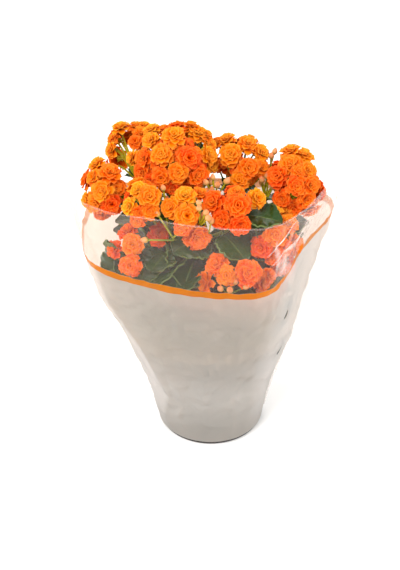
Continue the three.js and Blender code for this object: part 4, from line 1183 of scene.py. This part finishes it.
def makeSoil():
    body = copyOf(bpy.data.objects["soil"])
    body.name = "pottingSoil"
    activate(body)
    body.hide_set(False)
    mergePoints(body, 0.005, turnOut=False)
    applyModifier(body, "SUBSURF", subdivision_type="SIMPLE", levels=3, render_levels=3)
    for vertex in body.data.vertices:
        place = vertex.co / mm
        if place.z > pot["soilTop"] and math.hypot(place.x, place.y) < pot["soilRadius"]:
            vertex.co.z += (1.1 * noise.noise(place / 3.2) + 0.5 * noise.noise(place / 1.2)) * mm
    dress(body, 40, "soil", "soil", soilMaterial())


makePot()
makeSoil()
print("pot and soil made")


# Film sleeve
# Each crease: how far it stands out (minus is in), its half width, and its line as (around, height)
creases = [
    (2.0, 3.5, [(10.2, 158), (10.25, 138), (10.3, 118), (10.35, 102), (10.5, 82), (10.7, 50), (10.3, 18)]),
    (-1.2, 2.5, [(10.5, 82), (10.8, 70), (10.9, 52)]), (1.4, 3, [(0.55, 136), (0.55, 100)]),
    (-1.8, 3, [(1.85, 86), (1.15, 92), (0.75, 90)]), (1.8, 6, [(0.45, 158), (0.4, 92)]),
    (-2.2, 7, [(0.9, 150), (1.6, 40)]), (2.0, 5, [(1.05, 132), (0.5, 70)]), (2.4, 5, [(1.0, 88), (1.9, 38)]),
    (2.4, 5, [(1.9, 176), (1.5, 96)]), (1.8, 5, [(2.4, 170), (2.2, 60)]), (1.6, 3, [(1.35, 196), (1.95, 246)]),
    (-1.6, 3, [(0.8, 223), (1.4, 248)]), (1.4, 8, [(11.3, 40), (10.8, 120)]), (-2.0, 6, [(10.2, 120), (9.9, 30)]),
    (1.8, 4, [(9.6, 150), (9.7, 20)]), (-1.6, 6, [(11.6, 100), (11.0, 20)]), (1.8, 6, [(4.0, 20), (4.6, 150)]),
    (-2.0, 7, [(5.2, 170), (5.8, 60)]), (2.0, 7, [(7.6, 30), (6.8, 160)]), (-1.8, 6, [(8.2, 170), (8.0, 60)]),
    (1.8, 3, [(0.3, 70), (0.9, 48), (1.6, 44)]), (1.4, 3, [(0.9, 48), (0.7, 20)]),
    (1.6, 3, [(11.2, 52), (10.9, 30), (11.1, 12)]), (1.8, 3, [(1.5, 118), (0.8, 76), (0.6, 30)]),
    (1.4, 4, [(0.2, 150), (11.7, 120), (11.5, 84)]),
]
creases = [(out, width, [filmPoint(*point) for point in line]) for out, width, line in creases]


def nearestOn(places, place):
    found = (1e9, 0)
    for k, start in enumerate(places[:-1]):
        run = places[k + 1] - start
        share = clamp((place - start).dot(run) / run.length_squared)
        away = (place - start - run * share).length
        if away < found[0]:
            found = (away, (k + share) / (len(places) - 1))
    return found


def valueAt(levels, height):
    k = next((i for i in range(1, len(levels)) if height <= levels[i][0]), len(levels) - 1)
    (lowZ, low), (highZ, high) = levels[k - 1], levels[k]
    return low + (high - low) * (height - lowZ) / (highZ - lowZ)


# the grey front panel ends sharply on the left and softly on the right: edges as (height, around)
panel = {
    "left": ((3, 10.3), (18, 10.3), (50, 10.7), (82, 10.5), (102, 10.35), (155, 10.2), (251, 10.1)), "leftSoft": 0.15,
    "right": ((3, 1.3), (60, 1.1), (100, 1.0), (165, 0.95), (251, 0.95)), "rightSoft": 0.65,
    # painted shade dims the back and the foot, and painted light lifts a band of the front ink
    "footDrop": 15, "footOver": 70, "backShade": 0.4, "backShadeOver": 1.8, "brightAt": 58, "brightOver": 30,
    "thinFrom": 90, "thinOver": 60,
}


# 0 on the grey front panel, 1 on the white sides, whose white is partly print and partly a painted glow of light
# through the film; less on the back, as painted shade from the plant, and less towards the foot, as painted shade
def panelShare(around, height):
    turn = around % 12
    if turn > 6:
        share = (valueAt(panel["left"], height) - turn) / panel["leftSoft"]
    else:
        share = (turn - valueAt(panel["right"], height)) / panel["rightSoft"]
    # painted shade: the white is dimmed towards the bottom and on the back
    foot = min(1.0, (height + panel["footDrop"]) / panel["footOver"])
    return clamp(share) * foot * (1 - panel["backShade"] * math.exp(-((turn - 6) / panel["backShadeOver"]) ** 2))


# each slit is four faces of the film's grid: column, middle row, shift per row, half width as turns round it
slits = [(155, 66, 0.022, 0.055), (160, 43, 0.03, 0.09)]


def slitShift(column, row):
    shift = 0
    for slitColumn, slitRow, tilt, half in slits:
        rows, columns = row - slitRow, column - slitColumn - 0.5
        shift += tilt * rows * math.exp(-(rows / 5) ** 2 - (columns / 5) ** 2)
        if abs(rows) <= 2 and abs(columns) < 1:
            width = half * math.sqrt(1 - (rows / 2) ** 2)
            shift += math.copysign(width, columns) - columns * 12 / film["columns"]
    return shift


# how the film wanders besides its creases; below the pot's rim it lies on the pot
bends = {
    "broadOver": 34, "broad": 1.3, "fineOver": 13, "fine": 2.2, "fineDrop": 0.5, "looseOver": 30, "potTo": 112,
    "press": -0.3,
}


def filmBend(place, height):
    bend = 0.0
    for out, width, places in creases:
        away, along = nearestOn(places, place)
        bend += out * math.sin(math.pi * (0.04 + 0.92 * along)) ** 0.6 * math.exp(-away / width)
    broad = noise.noise(place / bends["broadOver"]) * bends["broad"]
    fine = abs(noise.noise(place / bends["fineOver"] + Vector((7, 3, 1)))) * bends["fine"] - bends["fineDrop"]
    bend = (bend + broad + fine) * clamp((height - film["bottom"]) / bends["looseOver"])
    return max(bends["press"], bend) if height < bends["potTo"] else bend


def filmSurface(around, height):
    top = film["top"]
    rimShare = max(0.0, (height - film["riseFrom"]) / (top - film["riseFrom"]))
    fromSeam = (around % 12 - film["seamPoint"]) / film["seamWidth"]
    place = filmPoint(around, height)
    outward = filmOutward(around, height)
    place += outward * (filmBend(place, height) - 0.5 * film["cadWall"])
    place.z += film["seamRise"] * rimShare * math.exp(-fromSeam ** 2)
    return place, outward


seam = {
    "around": (3.0, 9.0), "from": 8, "to": 247, "widths": ((8, 1.5), (60, 4), (120, 6), (190, 6.5), (247, 5)),
    "columns": 4, "rows": 80, "ripple": 0.9, "rippleOver": 14, "root": 0.1, "thickness": 0.35,
}


def makeSeam(around):
    strip = makeGrid(seam["columns"], seam["rows"])
    for vertex in strip.data.vertices:
        height = seam["from"] + (seam["to"] - seam["from"]) * (vertex.co.y + 0.5)
        width = valueAt(seam["widths"], height)
        place, outward = filmSurface(around, height)
        out = vertex.co.x + 0.5
        ripple = seam["ripple"] * noise.noise(Vector((around, 0, height / seam["rippleOver"]))) * out
        sideways = Vector((-outward.y, outward.x, 0))
        vertex.co = (place + outward * (seam["root"] + width * out) + sideways * ripple) * mm
    thicken(strip, seam["thickness"])
    return strip


def makeFilm():
    columns, rows = film["columns"], film["rows"]
    sleeve = makeGrid(columns, rows)
    span = film["top"] - film["bottom"]
    for column, row, *rest in slits:
        left, middle = column / columns - 0.5, row / rows - 0.5
        selectPoints(sleeve, lambda co: -0.1 < (co.x - left) * columns < 1.1 and abs(co.y - middle) * rows < 2.1)
        bpy.ops.mesh.delete(type="FACE")
        bpy.ops.object.mode_set(mode="OBJECT")
    tint = sleeve.data.color_attributes.new("filmTint", "FLOAT_COLOR", "POINT")
    for vertex in sleeve.data.vertices:
        column, row = round((vertex.co.x + 0.5) * columns), round((vertex.co.y + 0.5) * rows)
        around = 12 * (vertex.co.x + 0.5) + 6 + slitShift(column, row)  # the grid's ends meet at the back
        height = round(film["bottom"] + span * (vertex.co.y + 0.5), 4)
        share = panelShare(around, height)
        # painted light: a lighter band round the middle height of the front ink, darker towards the foot
        paintedLightBand = math.exp(-((height - panel["brightAt"]) / panel["brightOver"]) ** 2)
        thinner = share * clamp((height - panel["thinFrom"]) / panel["thinOver"])
        tint.data[vertex.index].color = (share, paintedLightBand, thinner, 1)
        vertex.co = filmSurface(around, height)[0] * mm
    mergePoints(sleeve, 0.01)
    thicken(sleeve, film["thickness"])
    # the ink is on the outer side only, so the inner side gets the clear film
    inner = [int(polygon.normal.dot(Vector((polygon.center.x, polygon.center.y, 0))) < 0)
             for polygon in sleeve.data.polygons]
    seams = [makeSeam(around) for around in seam["around"]]
    sleeve = joinPieces("filmSleeve", [sleeve, *seams])
    dress(sleeve, 80, "film", "sleeve", printedFilm(), clearFilm("clearPolypropyleneFilm", 0.035, True),
          clearFilm("weldedFilmSeam", 0.22))
    count = len(sleeve.data.polygons)
    sleeve.data.polygons.foreach_set("material_index", inner + [2] * (count - len(inner)))


filmLook = {"milk": "#EFE4DC", "through": "#FFFDFC", "roughness": 0.28, "glow": 0.6, "clear": 0.03, "gloss": 0.2}


def filmGloss(skin, body, wrinkle, strength):
    # a mirror-like skin, stronger at a glancing angle
    gloss = addNode(skin, "BsdfGlossy", {"Roughness": 0.14, "Color": (1, 1, 1, 1), "Normal": wrinkle})
    glance = addNode(skin, "LayerWeight", {"Blend": 0.5, "Normal": wrinkle})
    steep = addMath(skin, "POWER", glance.outputs["Facing"], 4)
    return finished(skin, addMixed(skin, addMath(skin, "MULTIPLY_ADD", steep, strength, 0.01), body, gloss))


def filmWrinkle(skin, place):
    broad = addNoise(skin, place, 45, 3, Roughness=0.55)
    relief = addMath(skin, "MULTIPLY_ADD", addNoise(skin, place, 150), 0.25, broad)
    # flat facets 20 to 40 mm across with sharp creases between them
    bent = addNode(skin, "Mix", {"data_type": "VECTOR", 0: 0.02, 4: place, 5: broad.outputs["Color"]})
    facets = addNode(skin, "TexVoronoi", {"Scale": 30, "Vector": bent.outputs[1]})
    return addBump(skin, addMath(skin, "MULTIPLY_ADD", facets, 1.3, relief), 0.7, 4)


def seeThrough(skin):
    return addNode(skin, "BsdfTransparent", {"Color": linear(filmLook["through"])})


def clearFilm(name, opacity, backed=False):
    # Cast polypropylene: thin, clear and glossy, with a faint milky haze
    skin = newMaterial(name)
    place = objectPlace(skin)
    wrinkle = filmWrinkle(skin, place)
    milk = linear(filmLook["milk"])
    surface = addSurface(skin, milk, filmLook["roughness"], ior=1.49, normal=wrinkle)
    milky = addMixed(skin, 0.5, surface, addNode(skin, "BsdfTranslucent", {"Color": milk}))
    share = addRange(skin, addNoise(skin, place, 30, 3), 0, 1, 0.7 * opacity, 1.3 * opacity)
    if backed:  # white backing ink behind the orange band
        half = 0.5 * (film["bandTo"] - film["bandFrom"]) * mm
        height = addNode(skin, "SeparateXYZ", {0: place}).outputs["Z"]
        away = addMath(skin, "ABSOLUTE", addMath(skin, "SUBTRACT", height, film["bandFrom"] * mm + half))
        share = addRange(skin, addMath(skin, "LESS_THAN", away, half), 0, 1, share, 0.6)
    return filmGloss(skin, addMixed(skin, share, seeThrough(skin), milky), wrinkle, filmLook["gloss"])


def printedFilm():
    # Flexo-printed polypropylene: an orange band, and below it a warm grey ink that is opaque but lets light glow
    # through; the film above the band is bare
    skin = newMaterial("printedPolypropyleneFilm")
    place = objectPlace(skin)
    height = addNode(skin, "SeparateXYZ", {0: place}).outputs["Z"]
    wrinkle = filmWrinkle(skin, place)
    clear = addMath(skin, "GREATER_THAN", height, film["bandTo"] * mm)
    printed = addMath(skin, "LESS_THAN", height, film["bandFrom"] * mm)
    white, paintedLightBand, thinner, _ = tintParts(skin, "filmTint")
    ink = addRamp(skin, addNoise(skin, place, 22, 3), [(0.3, "#C6C4BD"), (0.7, "#D0CCC4")])
    # the panels' colour holds painted light and shade: the sides' white is partly painted glow, the back and foot are
    # dimmed, and the front ink has a lighter band
    panels = addBlend(skin, white, addBlend(skin, paintedLightBand, ink, "#E6E3DC"), "#FFFBF6")
    colour = addBlend(skin, clear, addBlend(skin, printed, "#E68C00", panels), filmLook["milk"])
    opacity = addRange(skin, clear, 0, 1, addRange(skin, thinner, 0, 1, 0.99, 0.84), filmLook["clear"])
    surface = addSurface(skin, colour, filmLook["roughness"], ior=1.49, specular=0.1, normal=wrinkle)
    glow = addNode(skin, "BsdfTranslucent", {"Color": addBlend(skin, printed, "#E88A00", "#F2DCCB")})
    body = addMixed(skin, opacity, seeThrough(skin), addMixed(skin, filmLook["glow"], surface, glow))
    return filmGloss(skin, body, wrinkle, addRange(skin, clear, 0, 1, 0.06, filmLook["gloss"]))


# Thin strips where the clear film is folded and turns white, partly the fold's own white and partly a painted
# highlight:
# strength, then (around, height, half width in mm) down the fold
foldHighlightStrips = [
    (0.75, ((1.45, 245, 0.5), (1.1, 233, 0.7), (0.75, 224, 0.5))),
    (0.55, ((2.05, 236, 2), (1.85, 220, 4), (1.5, 218, 3.2), (1.15, 222, 1.5), (0.98, 218, 0.7), (0.85, 214, 0.4))),
    (0.4, ((1.25, 219, 4), (1.2, 210, 9), (1.3, 200, 8), (1.5, 194, 4))),
    (0.35, ((0.9, 236, 1), (0.98, 224, 3), (1.05, 212, 3), (1.0, 202, 1))),
    (0.4, ((2.2, 247, 0.6), (2.1, 226, 1.0), (1.95, 205, 0.5))),
    (0.4, ((2.6, 247, 0.5), (2.5, 220, 0.9), (2.35, 196, 0.4))),
    (0.4, ((9.9, 246, 0.5), (9.95, 222, 0.9), (10.0, 200, 0.4))),
    (0.4, ((9.3, 246, 0.6), (9.35, 220, 1.0), (9.4, 196, 0.5))),
    (0.4, ((4.6, 246, 0.5), (4.8, 225, 0.9), (5.0, 205, 0.4))),
    (0.4, ((7.5, 240, 0.5), (7.3, 220, 0.9), (7.1, 200, 0.4))),
    # painted highlight along the film's cut top edge
    (0.22, tuple((k / 2, 249.2, 0.5) for k in range(18, 33))),  # the cut edge, round the front from seam to seam
]
foldGrid = {"columns": 6, "rows": 26, "longRows": 140, "longFrom": 7, "off": 0.3, "apart": 0.02, "thickness": 0.06}


def foldHighlightFilm():
    # Folded polypropylene: the crease scatters light and turns white, most in its middle, and the white is also a
    # painted highlight along the fold
    skin = newMaterial("foldedFilmWithPaintedHighlight")
    white = linear("#FFF6EE")
    patch = addRange(skin, addNoise(skin, objectPlace(skin), 170), 0.3, 0.62, 0.35, 1)
    opacity = addMath(skin, "MULTIPLY", tintParts(skin, "foldHighlightTint")[0], patch)
    glow = addNode(skin, "BsdfTranslucent", {"Color": white})
    body = addMixed(skin, 0.5, addSurface(skin, white, 0.4), glow)
    return finished(skin, addMixed(skin, opacity, addNode(skin, "BsdfTransparent"), body))


def makeFoldHighlights():
    strips = []
    for number, (strength, line) in enumerate(foldHighlightStrips):
        last = len(line) - 1
        strip = makeGrid(foldGrid["columns"], foldGrid["longRows" if last >= foldGrid["longFrom"] else "rows"])
        tint = strip.data.color_attributes.new("foldHighlightTint", "FLOAT_COLOR", "POINT")
        arounds, heights, widths = ([(k, entry[i]) for k, entry in enumerate(line)] for i in range(3))
        for vertex in strip.data.vertices:
            along, across = vertex.co.y + 0.5, 2 * vertex.co.x
            at = along * last
            later = min(at + 0.05, last)
            around, height = valueAt(arounds, at), valueAt(heights, at)
            run = (filmPoint(valueAt(arounds, later), valueAt(heights, later))
                   - filmPoint(valueAt(arounds, later - 0.1), valueAt(heights, later - 0.1)))
            outward = filmOutward(around, height)
            sideways = outward.cross(run).normalized() * valueAt(widths, at) * across
            turn = Vector((-outward.y, outward.x, 0)).dot(sideways) / perTurn(around, height)
            place, outward = filmSurface(around + turn, height + sideways.z)
            fade = math.sin(math.pi * (0.03 + 0.94 * along)) ** 0.5 * (1 - across ** 2)
            tint.data[vertex.index].color = (strength * max(0.0, fade), 0, 0, 1)
            vertex.co = (place + outward * (foldGrid["off"] + foldGrid["apart"] * number)) * mm
        thicken(strip, foldGrid["thickness"])
        strips.append(strip)
    dress(joinPieces("filmFoldHighlights", strips), 60, "film", "sleeve", foldHighlightFilm())


# leaves pressed against the inside of the film behind the slits, in darker leaf colours that paint the shade seen
# through them: around, height, half width and half length
pressedLeaves = [(1.8, 139, 10, 15), (2.05, 93, 8, 13)]
pressed = {"columns": 8, "rows": 16, "inside": 1.4, "curl": 0.25, "thickness": 0.8}


def makePressedLeaves():
    blades, stalks = [], []
    carrier = stemPoint("front_right", 0.8)
    for around, middle, halfWidth, halfLength in pressedLeaves:
        blade = makeGrid(pressed["columns"], pressed["rows"])
        length = perTurn(around, middle)
        for vertex in blade.data.vertices:
            across, along = 2 * vertex.co.x, 2 * vertex.co.y
            wide = halfWidth * max(0.04, 1 - along ** 4) ** 0.6 / length
            place, outward = filmSurface(around + across * wide, middle + along * halfLength)
            vertex.co = (place - outward * (pressed["inside"] + pressed["curl"] * across ** 2)) * mm
        thicken(blade, pressed["thickness"])
        blades.append(blade)
        place, outward = filmSurface(around, middle + halfLength - 1)
        top = place - outward * 1.5
        stalks.append(([top - Vector((0, 0, 3)), top + Vector((0, 0, 3)) - outward * 4,
                        carrier.lerp(top, 0.4) + Vector((0, 0, 5)), carrier], 1.3, 1.5))
    foliage = joinPieces("pressedLeaves", blades + [makeStrands("petioles", stalks)])
    # painted shade: darker leaf colours for the leaves seen through the slits
    dark = leafMaterial("kalanchoeLeafPaintedShade", ("#141F0A", "#1E2E10", "#2F4020"), 0.4)
    dress(foliage, 60, "foliage", "shoot_front_right", dark)


makeFoldHighlights()
makeFilm()
makePressedLeaves()
print("film sleeve made")
